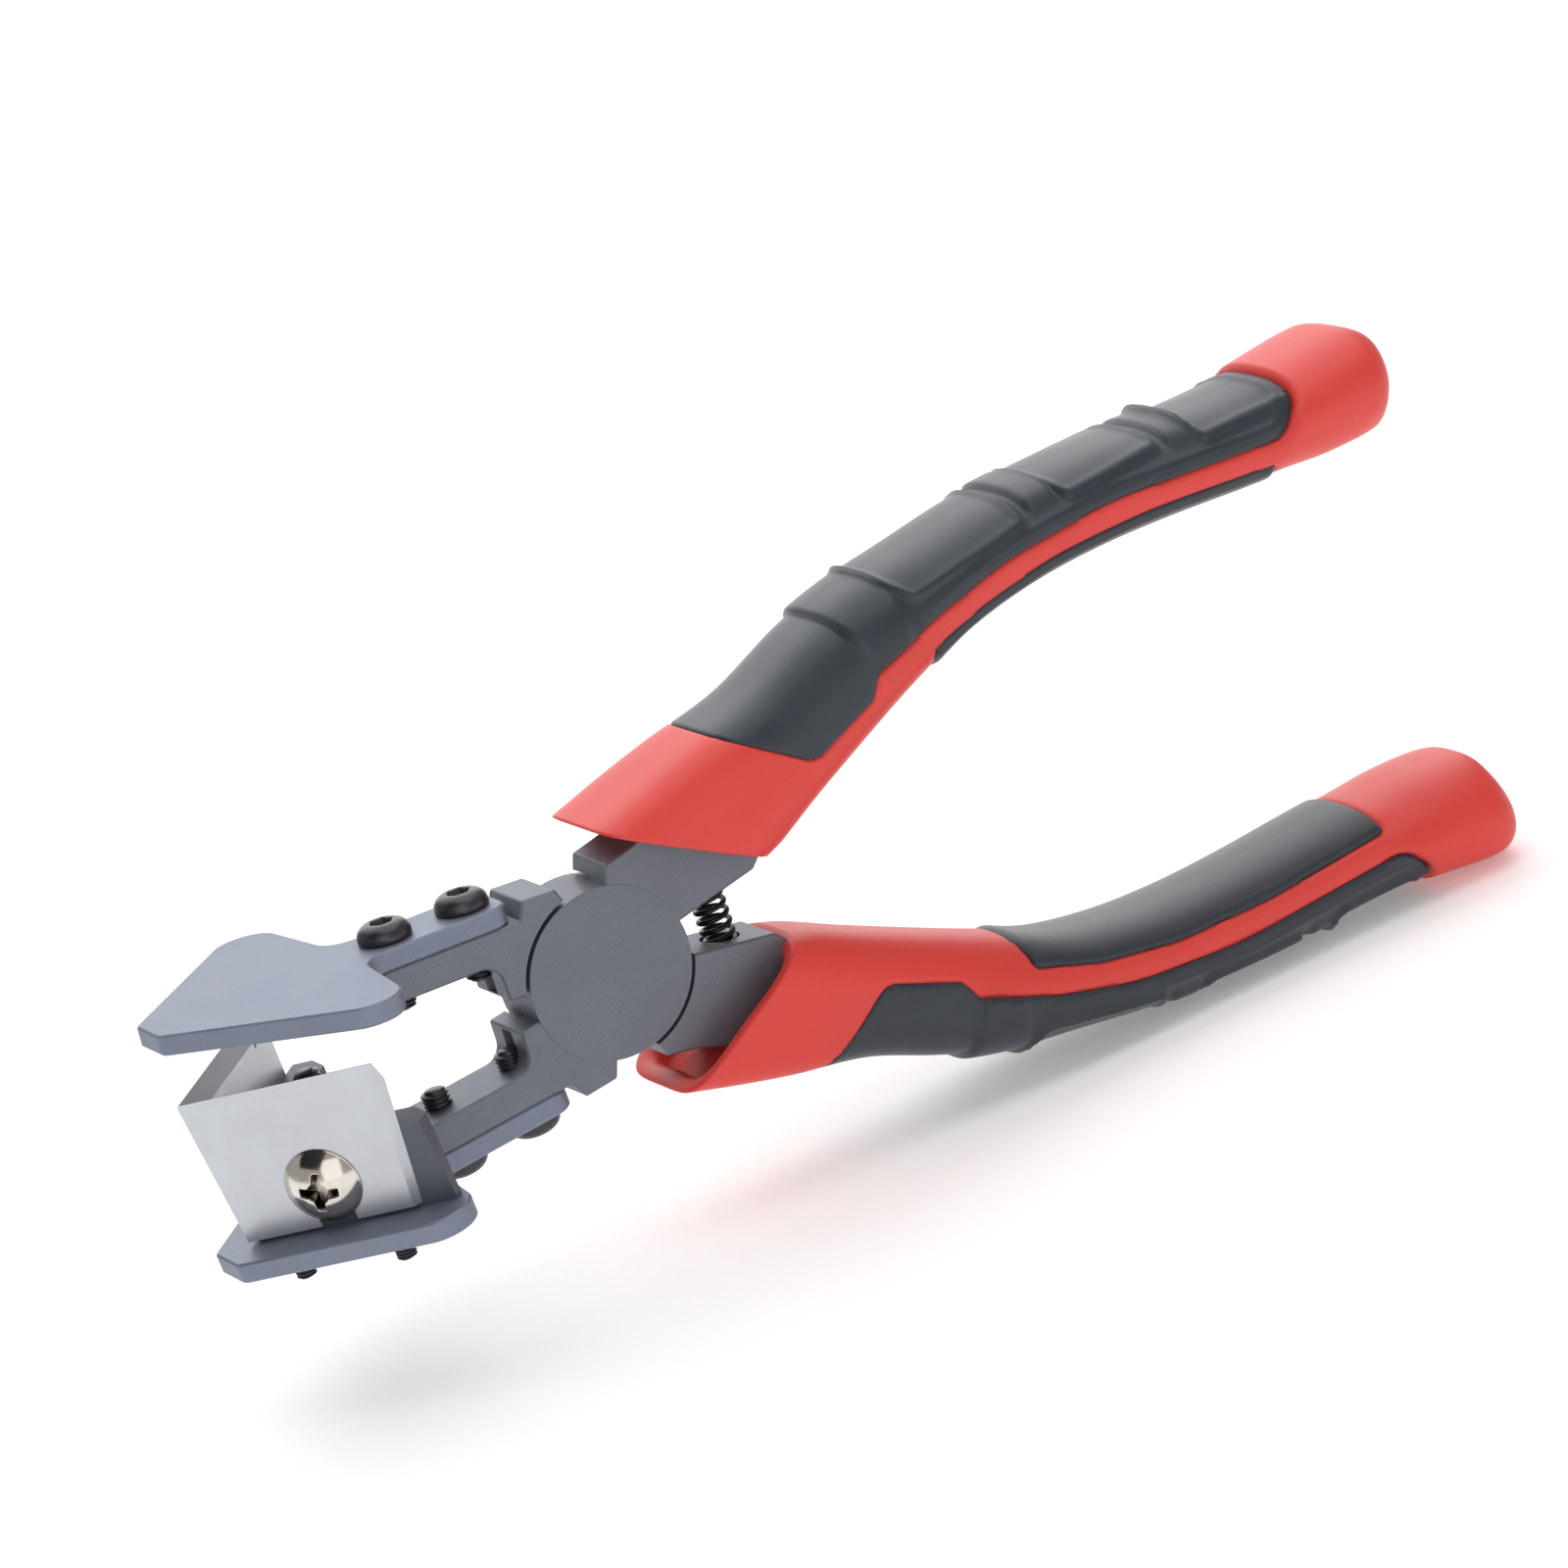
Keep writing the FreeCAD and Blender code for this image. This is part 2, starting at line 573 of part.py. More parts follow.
def main():
    os.makedirs("parts", exist_ok=True)
    for name, shape in assemble().items():
        shape.translate(Vector(0, FACE_TO_MIDDLE, 0))
        shape.exportStep(os.path.join("parts", name + ".step"))
        box = shape.optimalBoundingBox()
        print(name, "solids", len(shape.Solids), "valid", shape.isValid(),
              "volume", round(shape.Volume, 2),
              "box", [round(v, 1) for v in (box.XMin, box.XMax, box.YMin, box.YMax, box.ZMin, box.ZMax)])


main()
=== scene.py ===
"""Tile nippers with a V blade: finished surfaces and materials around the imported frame.

The file is laid out as an add-on.  Lengths inside the functions are in millimetres, in the frame's
own axes (X from jaws to handles, Y along the pivot axis, Z up), and become metres in add_piece.
"""

import json
import math

import bpy
import bmesh
import numpy as np
from mathutils import Matrix, Vector


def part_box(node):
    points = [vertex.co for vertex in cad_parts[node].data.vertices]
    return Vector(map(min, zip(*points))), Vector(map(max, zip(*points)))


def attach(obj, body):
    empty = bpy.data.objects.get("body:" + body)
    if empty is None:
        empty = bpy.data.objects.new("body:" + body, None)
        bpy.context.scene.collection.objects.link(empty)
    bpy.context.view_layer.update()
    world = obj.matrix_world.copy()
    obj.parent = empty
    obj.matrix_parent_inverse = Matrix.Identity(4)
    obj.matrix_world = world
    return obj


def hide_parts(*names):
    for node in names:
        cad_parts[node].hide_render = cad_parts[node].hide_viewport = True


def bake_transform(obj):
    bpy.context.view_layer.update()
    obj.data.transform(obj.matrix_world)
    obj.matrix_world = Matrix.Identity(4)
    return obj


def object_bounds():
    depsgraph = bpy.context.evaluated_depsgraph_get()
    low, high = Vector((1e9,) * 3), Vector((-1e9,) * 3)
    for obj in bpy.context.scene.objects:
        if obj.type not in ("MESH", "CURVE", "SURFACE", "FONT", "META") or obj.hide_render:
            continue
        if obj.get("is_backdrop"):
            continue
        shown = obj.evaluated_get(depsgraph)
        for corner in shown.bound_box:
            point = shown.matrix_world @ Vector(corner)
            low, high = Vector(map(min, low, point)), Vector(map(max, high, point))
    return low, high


bl_info = {
    "name": "Tile Nippers",
    "version": (1, 0, 0),
    "blender": (4, 5, 0),
    "location": "3D View > Sidebar > Nippers",
    "description": "Grips, screws, spring and finishes of a pair of tile nippers",
    "category": "Add Mesh",
}

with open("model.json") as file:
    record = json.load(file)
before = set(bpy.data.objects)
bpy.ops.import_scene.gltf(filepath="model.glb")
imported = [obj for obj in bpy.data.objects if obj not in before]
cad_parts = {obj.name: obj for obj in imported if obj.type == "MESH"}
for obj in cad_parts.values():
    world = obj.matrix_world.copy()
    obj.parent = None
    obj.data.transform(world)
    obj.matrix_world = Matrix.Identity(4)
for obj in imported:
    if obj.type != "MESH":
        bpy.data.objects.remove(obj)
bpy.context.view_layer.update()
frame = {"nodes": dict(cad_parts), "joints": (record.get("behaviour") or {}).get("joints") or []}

MM = 0.001
PIVOT_Y = frame["joints"][0]["pos_m"][1] / MM      # middle plane of the head
LOWER_BODY = "lower_jaw"                           # carries the upper handle
UPPER_BODY = "upper_jaw"                           # carries the lower handle

# ---- jaws ----
JAW_TILT = math.radians(3.5)     # each jaw stands this far open from parallel
SEAT_HEIGHT = 11.9               # pivot plane to the seat of a plate
PLATE_THICKNESS = 3.0
PLATE_SCREW_X = (-28.9, -16.8)
CLAMP_SCREW_X = -45.0
HOLDER_HEIGHT = 12.5
HOLDER_SCREW_PLACES = ((-55.8, 0.0), (-45.1, 12.0), (-45.1, -12.0))
BLADE_FOOT = (-61.8, -11.3)      # X and Z of the foot of the fold line, jaw closed
BLADE_RAKE = 0.087
FLAP_SCREW_ALONG = 14.4          # blade screw from the fold line
FLAP_SCREW_UP = 6.2              # blade screw above the foot of the blade

# ---- screws ----
BUTTON_HEAD = (3.9, 2.6, 2.9, 1.9)       # radius, height, socket across its flats, socket depth
BUTTON_THREAD = (2.0, 0.7, 0.15)         # radius, pitch, start below the head
PLATE_SCREW_LENGTH = 10.4
CLAMP_SCREW_LENGTH = 21.9
HOLDER_THREAD = (1.5, 0.5, 1.5)
HOLDER_SCREW_POINT = 5.0                 # stands out under the base plate
BLADE_SCREW_HEAD = (5.6, 2.8)            # radius, dome height
BLADE_THREAD = (2.5, 0.8)                # radius, pitch
BLADE_SCREW_LENGTH = 8.0

# ---- grip of the upper handle: outer crown, inner crown, half width, outer and inner squareness ----
GRIP_STATIONS = np.array([
    (3.5, 20.2, 28.0, 6.2, 11.8, 5.0, 3.4),
    (12.0, 22.8, 30.6, 7.0, 11.6, 4.6, 3.2),
    (20.5, 25.2, 33.6, 8.4, 11.3, 4.0, 3.0),
    (32.5, 28.0, 39.5, 11.4, 11.0, 3.4, 2.8),
    (44.3, 33.0, 51.7, 17.2, 11.3, 3.0, 2.6),
    (53.3, 35.6, 58.7, 20.4, 11.6, 2.8, 2.5),
    (64.4, 37.1, 67.6, 24.4, 12.1, 2.7, 2.5),
    (77.2, 39.0, 78.8, 26.7, 12.2, 2.6, 2.5),
    (89.9, 39.6, 90.1, 27.5, 12.2, 2.6, 2.5),
    (102.3, 39.4, 101.7, 27.3, 12.3, 2.6, 2.5),
    (114.3, 38.6, 113.7, 26.6, 12.5, 2.6, 2.5),
    (121.7, 38.7, 122.3, 26.1, 12.6, 2.6, 2.5),
    (128.0, 39.5, 128.8, 25.6, 12.6, 2.7, 2.6),
    (134.0, 40.2, 133.6, 25.7, 12.5, 2.8, 2.8),
    (137.4, 40.5, 136.2, 25.8, 12.3, 2.8, 2.8),
    (139.8, 40.5, 138.0, 25.9, 11.6, 2.8, 2.8),
    (141.6, 40.2, 139.3, 26.1, 10.2, 2.8, 2.8),
    (142.5, 39.5, 139.9, 26.5, 8.4, 2.8, 2.8),
    (142.8, 38.3, 140.2, 27.3, 6.4, 2.8, 2.8),
])
GRIP_STEP = 0.45                 # size of a grid cell on the grip
GRIP_COLUMNS = 152
SLOPE_STEP = 1e-3                # for differences along the surface
LEAST_SLOPE = 1e-3
MOUTH_WALL = 3.6
MOUTH_DEPTH = 3.5
COVER_DEPTH = 1.3                # thickness of a soft moulding
RECESS_DEPTH = 1.8               # depth of its seat in the hard body

# Outlines in side view as (x, z, corner radius)
COVER_OUTLINE = (
    (20.4, 29.0, 0.0), (37.0, 17.2, 3.2), (48.2, 21.8, 1.6), (50.0, 25.2, 2.0), (62.0, 29.8, 20.0),
    (74.0, 33.0, 40.0), (92.0, 34.6, 60.0), (121.0, 32.6, 4.0), (125.6, 37.6, 4.0), (123.6, 50.0, 0.0),
    (20.4, 50.0, 0.0),
)
PAD_OUTLINE = (
    (59.9, 10.0, 0.0), (59.9, 24.9, 0.8), (70.0, 28.3, 20.0), (82.0, 30.4, 40.0), (98.0, 30.7, 60.0),
    (119.4, 29.0, 0.8), (119.4, 10.0, 0.0),
)
FINGER_OUTLINES = (
    ((54.6, 50.0, 0.0), (55.3, 35.6, 2.5), (58.6, 32.6, 1.4), (78.4, 36.0, 1.2), (80.0, 50.0, 0.0)),
    ((84.4, 50.0, 0.0), (84.2, 39.4, 2.5), (86.2, 36.8, 1.4), (102.8, 37.6, 1.2), (104.6, 50.0, 0.0)),
    ((108.4, 50.0, 0.0), (107.4, 38.6, 2.5), (109.4, 36.2, 1.4), (130.2, 36.3, 1.2), (132.0, 50.0, 0.0)),
)
RING_SPANS = ((80.0, 84.6), (104.2, 108.6))      # raised rings between the finger pads, along X
RING_HEIGHT = 1.1
RING_EASE = 0.62                 # reach of a ring to each side, as a part of its span
COLLAR_FRONT = (46.2, 35.7)      # X and Z of one point of the collar's front edge
COLLAR_LEAN = 0.42               # the edge runs back by this much per unit down
COLLAR_EDGE = 0.45               # half the run of the step up to the collar
COLLAR_BACK = (55.4, 57.2)       # where the collar falls to the height behind it, along X
COLLAR_FALL = 0.75
CROWN_HALF_WIDTH = 11.4          # the rings fade out at this distance from the middle plane
BEAD_PLACE = (0.5, 0.55)         # inset from a pad's outline, and width
RIM_PLACE = (1.9, 0.5)           # inset from the cover's edge, and width
RIM_START = (58.0, 61.0)
RIM_HEIGHT = 0.35
LIP_START = (116.0, 122.0)       # the cap's lip rises along X, and up from the inner side
LIP_RISE = (28.0, 35.0)
LIP_WIDTH = 0.9
CAP_END_X = 143.0
CAP_FADE = 5.0


# ---------------------------------------------------------------- numbers and meshes

def ease(value, low, high):
    """0 below low, 1 above high, and the cubic 3t^2 - 2t^3 between them."""
    t = np.clip((value - low) / (high - low), 0.0, 1.0)
    return t * t * (3.0 - 2.0 * t)


def through_stations(table, s):
    """Catmull-Rom curve through the rows of table, at parameter s counted in rows."""
    last = len(table) - 1
    row = np.clip(np.floor(s).astype(int), 0, last - 1)
    t = (s - row)[..., None]
    before = table[np.maximum(row - 1, 0)]
    start = table[row]
    end = table[row + 1]
    after = table[np.minimum(row + 2, last)]
    return 0.5 * (2 * start + (end - before) * t + (2 * before - 5 * start + 4 * end - after) * t ** 2
                  + (3 * start - before - 3 * end + after) * t ** 3)


def rounded_outline(corners, steps=7):
    """Closed outline through corners (a, b, radius), with each corner replaced by an arc of its radius."""
    corner = np.array(corners, float)
    here = corner[:, :2]
    before = np.roll(here, 1, 0) - here
    after = np.roll(here, -1, 0) - here
    before /= np.linalg.norm(before, axis=1)[:, None]
    after /= np.linalg.norm(after, axis=1)[:, None]
    half_angle = np.arccos(np.clip((before * after).sum(1), -1, 1)) / 2
    reach = (corner[:, 2] / np.tan(half_angle))[:, None]
    t = np.linspace(0, 1, steps)[None, :, None]
    start = (here + before * reach)[:, None]
    end = (here + after * reach)[:, None]
    middle = here[:, None]
    weight = np.sin(half_angle)[:, None, None]
    top = start * (1 - t) ** 2 + middle * weight * 2 * t * (1 - t) + end * t ** 2
    return (top / ((1 - t) ** 2 + weight * 2 * t * (1 - t) + t ** 2)).reshape(-1, 2)


def inside_distance(x, z, outline):
    """Distance from each point (x, z) to the outline, positive inside it and negative outside."""
    point = np.stack([x, z], -1)[..., None, :]
    start = outline
    edge = np.roll(outline, -1, 0) - start
    offset = point - start
    length2 = np.maximum((edge ** 2).sum(1), 1e-12)
    t = np.clip((offset * edge).sum(-1) / length2, 0, 1)
    distance = np.linalg.norm(offset - t[..., None] * edge, axis=-1).min(-1)
    below = start[:, 1] > point[..., 1]
    crosses = below != (np.roll(start, -1, 0)[:, 1] > point[..., 1])
    rise = np.where(np.abs(edge[:, 1]) < 1e-12, 1e-12, edge[:, 1])
    left = point[..., 0] < start[:, 0] + edge[:, 0] * (point[..., 1] - start[:, 1]) / rise
    return np.where((crosses & left).sum(-1) % 2 == 1, distance, -distance)


def grid_quads(rows, columns):
    """Corner numbers of the cells of a grid whose columns close on themselves."""
    row = np.arange(rows - 1)[:, None] * columns
    here = np.arange(columns)[None, :]
    beside = (here + 1) % columns
    corners = [row + here, row + beside, row + columns + beside, row + columns + here]
    return np.stack(corners, -1).reshape(-1, 4)


def add_piece(name, points, faces, body, finish, replaced=()):
    """Mesh object from points in millimetres, merged at its poles, riding on a body."""
    mesh = bpy.data.meshes.new(name)
    mesh.from_pydata((points.reshape(-1, 3) * MM).tolist(), [], faces.tolist())
    work = bmesh.new()
    work.from_mesh(mesh)
    bmesh.ops.remove_doubles(work, verts=work.verts, dist=2e-6)
    bmesh.ops.recalc_face_normals(work, faces=work.faces)
    work.to_mesh(mesh)
    work.free()
    mesh.polygons.foreach_set("use_smooth", np.ones(len(mesh.polygons), bool))
    mesh.materials.append(finish)
    thing = bpy.data.objects.new(name, mesh)
    bpy.context.scene.collection.objects.link(thing)
    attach(thing, body)
    if replaced:
        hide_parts(*replaced)
    return thing


def linear(colour):
    """An sRGB colour written as hex, as linear red, green, blue and alpha."""
    value = np.array([int(colour[i:i + 2], 16) for i in (1, 3, 5)]) / 255.0
    value = np.where(value <= 0.04045, value / 12.92, ((value + 0.055) / 1.055) ** 2.4)
    return (*value.tolist(), 1.0)


# ---------------------------------------------------------------- materials

def start_material(name):
    material = bpy.data.materials.new(name)
    material.use_nodes = True
    tree = material.node_tree
    tree.nodes.clear()
    return material, tree


def add_node(tree, kind, links=(), **settings):
    """Add a node; a setting is a property, or a socket where its name starts with in_; links are pairs."""
    made = tree.nodes.new(kind)
    for key, value in settings.items():
        if key.startswith("in_"):
            made.inputs[key[3:].replace("_", " ")].default_value = value
        else:
            setattr(made, key, value)
    for socket, source in links:
        tree.links.new(source, made.inputs[socket])
    return made


def per_metre(size_mm):
    """Texture scale that gives features of this size."""
    return 1.0 / (size_mm * MM)


def close_material(tree, shader):
    add_node(tree, "ShaderNodeOutputMaterial", [("Surface", shader.outputs["BSDF"])])


def phosphated_steel(name, dark, light, speckle_mm=0.45):
    """Drop-forged steel with a grey phosphate coat: matt, faintly metallic, with a fine crystal speckle."""
    material, tree = start_material(name)
    place = add_node(tree, "ShaderNodeTexCoord").outputs["Object"]
    crystals = add_node(tree, "ShaderNodeTexNoise", [("Vector", place)], in_Scale=per_metre(speckle_mm),
                        in_Detail=3.0, in_Roughness=0.65)
    clouds = add_node(tree, "ShaderNodeTexNoise", [("Vector", place)], in_Scale=per_metre(9.0), in_Detail=2.0)
    blend = add_node(tree, "ShaderNodeMath", [(0, crystals.outputs["Fac"]), (1, clouds.outputs["Fac"])],
                     operation="MULTIPLY_ADD")
    blend.inputs[2].default_value = 0.22
    tone = add_node(tree, "ShaderNodeMix", [("Factor", blend.outputs["Value"])], data_type="RGBA")
    tone.inputs[6].default_value = linear(dark)
    tone.inputs[7].default_value = linear(light)
    rough = add_node(tree, "ShaderNodeMapRange", [("Value", clouds.outputs["Fac"])],
                     in_To_Min=0.42, in_To_Max=0.58)
    grain = add_node(tree, "ShaderNodeBump", [("Height", crystals.outputs["Fac"])],
                     in_Strength=0.16, in_Distance=0.00004)
    shader = add_node(tree, "ShaderNodeBsdfPrincipled",
                      [("Base Color", tone.outputs[2]), ("Roughness", rough.outputs["Result"]),
                       ("Normal", grain.outputs["Normal"])], in_Metallic=0.55)
    close_material(tree, shader)
    return material


def ground_blade_steel():
    """Bright hardened sheet steel, ground along its length: fine parallel scratches and soft gloss."""
    material, tree = start_material("Ground blade steel")
    place = add_node(tree, "ShaderNodeTexCoord").outputs["Object"]
    along = add_node(tree, "ShaderNodeMapping", [("Vector", place)])
    along.inputs["Scale"].default_value = (0.03, 0.03, 1.0)
    scratches = add_node(tree, "ShaderNodeTexNoise", [("Vector", along.outputs["Vector"])],
                         in_Scale=per_metre(0.22), in_Detail=4.0)
    stains = add_node(tree, "ShaderNodeTexNoise", [("Vector", place)], in_Scale=per_metre(7.0), in_Detail=3.0)
    tone = add_node(tree, "ShaderNodeMix", [("Factor", stains.outputs["Fac"])], data_type="RGBA")
    tone.inputs[6].default_value = linear("#bbbdc1")
    tone.inputs[7].default_value = linear("#cccfd4")
    rough = add_node(tree, "ShaderNodeMapRange", [("Value", scratches.outputs["Fac"])],
                     in_To_Min=0.30, in_To_Max=0.46)
    grain = add_node(tree, "ShaderNodeBump", [("Height", scratches.outputs["Fac"])],
                     in_Strength=0.12, in_Distance=0.00002)
    shader = add_node(tree, "ShaderNodeBsdfPrincipled",
                      [("Base Color", tone.outputs[2]), ("Roughness", rough.outputs["Result"]),
                       ("Normal", grain.outputs["Normal"])], in_Metallic=0.85)
    close_material(tree, shader)
    return material


def nickel_plate():
    """Bright nickel plating on a cold-headed screw: a warm mirror, with painted shade darkening its recess.
    """
    material, tree = start_material("Nickel plate")
    place = add_node(tree, "ShaderNodeTexCoord").outputs["Object"]
    haze = add_node(tree, "ShaderNodeTexNoise", [("Vector", place)], in_Scale=per_metre(1.2), in_Detail=3.0)
    rough = add_node(tree, "ShaderNodeMapRange", [("Value", haze.outputs["Fac"])],
                     in_To_Min=0.08, in_To_Max=0.22)
    tone = add_node(tree, "ShaderNodeMix", [("Factor", haze.outputs["Fac"])], data_type="RGBA")
    tone.inputs[6].default_value = linear("#cfc6bb")
    tone.inputs[7].default_value = linear("#e6e0d8")
    # Painted shade: ambient occlusion mixes the base colour towards #2b2521 down in the cross recess.
    recess_occlusion = add_node(tree, "ShaderNodeAmbientOcclusion", in_Distance=0.0016)
    painted_shade_ramp = add_node(tree, "ShaderNodeMapRange", [("Value", recess_occlusion.outputs["AO"])],
                     in_From_Min=0.45, in_From_Max=0.92)
    painted_shade_tone = add_node(tree, "ShaderNodeMix", [("Factor", painted_shade_ramp.outputs["Result"])], data_type="RGBA")
    painted_shade_tone.inputs[6].default_value = linear("#2b2521")
    tree.links.new(tone.outputs[2], painted_shade_tone.inputs[7])
    shader = add_node(tree, "ShaderNodeBsdfPrincipled",
                      [("Base Color", painted_shade_tone.outputs[2]), ("Roughness", rough.outputs["Result"])],
                      in_Metallic=1.0)
    close_material(tree, shader)
    return material


def black_oxide(name, dark, light, grain_mm=0.5):
    """Oiled black oxide on alloy steel: near black, with a soft metallic gloss on rounded edges."""
    material, tree = start_material(name)
    place = add_node(tree, "ShaderNodeTexCoord").outputs["Object"]
    oil = add_node(tree, "ShaderNodeTexNoise", [("Vector", place)], in_Scale=per_metre(grain_mm),
                   in_Detail=3.0)
    tone = add_node(tree, "ShaderNodeMix", [("Factor", oil.outputs["Fac"])], data_type="RGBA")
    tone.inputs[6].default_value = linear(dark)
    tone.inputs[7].default_value = linear(light)
    rough = add_node(tree, "ShaderNodeMapRange", [("Value", oil.outputs["Fac"])],
                     in_To_Min=0.26, in_To_Max=0.44)
    grain = add_node(tree, "ShaderNodeBump", [("Height", oil.outputs["Fac"])],
                     in_Strength=0.10, in_Distance=0.00003)
    shader = add_node(tree, "ShaderNodeBsdfPrincipled",
                      [("Base Color", tone.outputs[2]), ("Roughness", rough.outputs["Result"]),
                       ("Normal", grain.outputs["Normal"])], in_Metallic=0.8)
    close_material(tree, shader)
    return material


def moulded_polypropylene():
    """Hard injection-moulded polypropylene in signal red: satin, with a fine spark-eroded texture."""
    material, tree = start_material("Red moulded polypropylene")
    place = add_node(tree, "ShaderNodeTexCoord").outputs["Object"]
    spark = add_node(tree, "ShaderNodeTexNoise", [("Vector", place)], in_Scale=per_metre(0.5), in_Detail=2.0)
    flow = add_node(tree, "ShaderNodeTexNoise", [("Vector", place)], in_Scale=per_metre(22.0), in_Detail=2.0)
    tone = add_node(tree, "ShaderNodeMix", [("Factor", flow.outputs["Fac"])], data_type="RGBA")
    tone.inputs[6].default_value = linear("#d93a34")
    tone.inputs[7].default_value = linear("#e4453c")
    rough = add_node(tree, "ShaderNodeMapRange", [("Value", spark.outputs["Fac"])],
                     in_To_Min=0.40, in_To_Max=0.50)
    grain = add_node(tree, "ShaderNodeBump", [("Height", spark.outputs["Fac"])],
                     in_Strength=0.07, in_Distance=0.00003)
    shader = add_node(tree, "ShaderNodeBsdfPrincipled",
                      [("Base Color", tone.outputs[2]), ("Roughness", rough.outputs["Result"]),
                       ("Normal", grain.outputs["Normal"])], in_IOR=1.49)
    close_material(tree, shader)
    return material


def soft_elastomer():
    """Moulded thermoplastic elastomer in blue-grey charcoal: matt, dusty sheen, slightly mottled skin."""
    material, tree = start_material("Charcoal elastomer")
    place = add_node(tree, "ShaderNodeTexCoord").outputs["Object"]
    skin = add_node(tree, "ShaderNodeTexNoise", [("Vector", place)], in_Scale=per_metre(0.7), in_Detail=4.0,
                    in_Roughness=0.6)
    bloom = add_node(tree, "ShaderNodeTexNoise", [("Vector", place)], in_Scale=per_metre(6.0), in_Detail=3.0)
    tone = add_node(tree, "ShaderNodeMix", [("Factor", bloom.outputs["Fac"])], data_type="RGBA")
    tone.inputs[6].default_value = linear("#20272f")
    tone.inputs[7].default_value = linear("#2e363f")
    rough = add_node(tree, "ShaderNodeMapRange", [("Value", skin.outputs["Fac"])],
                     in_To_Min=0.36, in_To_Max=0.52)
    grain = add_node(tree, "ShaderNodeBump", [("Height", skin.outputs["Fac"])],
                     in_Strength=0.20, in_Distance=0.00005)
    shader = add_node(tree, "ShaderNodeBsdfPrincipled",
                      [("Base Color", tone.outputs[2]), ("Roughness", rough.outputs["Result"]),
                       ("Normal", grain.outputs["Normal"])],
                      in_IOR=1.50, in_Sheen_Weight=0.15, in_Sheen_Roughness=0.5)
    close_material(tree, shader)
    return material


def studio_paper():
    """Seamless white background paper, lit a little from below: matt, with a faint tooth."""
    material, tree = start_material("Studio paper")
    place = add_node(tree, "ShaderNodeTexCoord").outputs["Object"]
    tooth = add_node(tree, "ShaderNodeTexNoise", [("Vector", place)], in_Scale=per_metre(3.0), in_Detail=2.0)
    tone = add_node(tree, "ShaderNodeMix", [("Factor", tooth.outputs["Fac"])], data_type="RGBA")
    tone.inputs[6].default_value = linear("#f4f4f4")
    tone.inputs[7].default_value = linear("#fafafa")
    shader = add_node(tree, "ShaderNodeBsdfPrincipled", [("Base Color", tone.outputs[2])], in_Roughness=0.9,
                      in_Emission_Strength=0.20)
    close_material(tree, shader)
    return material


# ---------------------------------------------------------------- grips

def grip_surface(s, a):
    """Point of the plain grip at station s and angle a round it.

    A section is a superellipse |cos/w|^p + |sin/h|^p = r^-p between the outer and inner crown, whose
    exponent p eases from the inner to the outer squareness.
    """
    row = through_stations(GRIP_STATIONS, s)
    outer = row[..., 0:2]
    inner = row[..., 2:4]
    half = (outer - inner) / 2
    height = np.linalg.norm(half, axis=-1)
    up = half / height[..., None]
    power = row[..., 6] + (row[..., 5] - row[..., 6]) * ease(np.sin(a), -0.6, 0.6)
    radius = (np.abs(np.cos(a) / row[..., 4]) ** power + np.abs(np.sin(a) / height) ** power) ** (-1 / power)
    centre = (outer + inner) / 2 + up * (radius * np.sin(a))[..., None]
    return np.stack([centre[..., 0], radius * np.cos(a), centre[..., 1]], -1)


def surface_slopes(s, a, step=SLOPE_STEP):
    """How the grip surface moves with s and with a, by central differences."""
    along = (grip_surface(s + step, a) - grip_surface(s - step, a)) / (2 * step)
    round_it = (grip_surface(s, a + step) - grip_surface(s, a - step)) / (2 * step)
    return along, round_it


def even_stations():
    """Station parameters spaced by one grid cell along the outer crown."""
    dense = np.linspace(0, len(GRIP_STATIONS) - 1, 4000)
    crown = grip_surface(dense, np.full_like(dense, math.pi / 2))
    length = np.concatenate([[0], np.cumsum(np.linalg.norm(np.diff(crown, axis=0), axis=1))])
    return np.interp(np.arange(0.3, length[-1], GRIP_STEP), length, dense)


def snap_to_outline(s, a, outline):
    """Move the nearer end of each grid edge that crosses the outline onto it, along the surface."""
    def field(s_at, a_at):
        point = grip_surface(s_at, a_at)
        return inside_distance(point[..., 0], point[..., 2], outline)

    value = field(s, a)
    snapped = np.zeros(value.shape, bool)
    for axis in (0, 1):
        other = np.roll(value, -1, axis)
        crosses = value * other < 0
        if axis == 0:
            crosses[-1] = False
        own = crosses & (np.abs(value) <= np.abs(other))
        snapped |= own | np.roll(crosses & ~own, 1, axis)
    s_at, a_at = s[snapped], a[snapped]
    for _ in range(4):
        along, round_it = surface_slopes(s_at, a_at)
        size_s = (along ** 2).sum(-1)
        size_a = (round_it ** 2).sum(-1)
        now = field(s_at, a_at)
        slope_s = (field(s_at + SLOPE_STEP, a_at) - now) / SLOPE_STEP
        slope_a = (field(s_at, a_at + SLOPE_STEP) - now) / SLOPE_STEP
        steep = np.maximum(slope_s ** 2 / size_s + slope_a ** 2 / size_a, LEAST_SLOPE)
        s_at = s_at - now * slope_s / size_s / steep
        a_at = a_at - now * slope_a / size_a / steep
    s, a = s.copy(), a.copy()
    s[snapped], a[snapped] = s_at, a_at
    value[snapped] = 0.0
    return s, a, value


def split_cells(value, rows, columns):
    """Triangles of the grid, each cell split along the diagonal that keeps the outline whole."""
    quads = grid_quads(rows, columns)
    corner = value.ravel()[quads]
    other_way = (corner[:, 0] * corner[:, 2] < 0)[:, None]
    first = np.where(other_way, quads[:, [0, 1, 3]], quads[:, [0, 1, 2]])
    second = np.where(other_way, quads[:, [1, 2, 3]], quads[:, [0, 2, 3]])
    return np.concatenate([first, second])


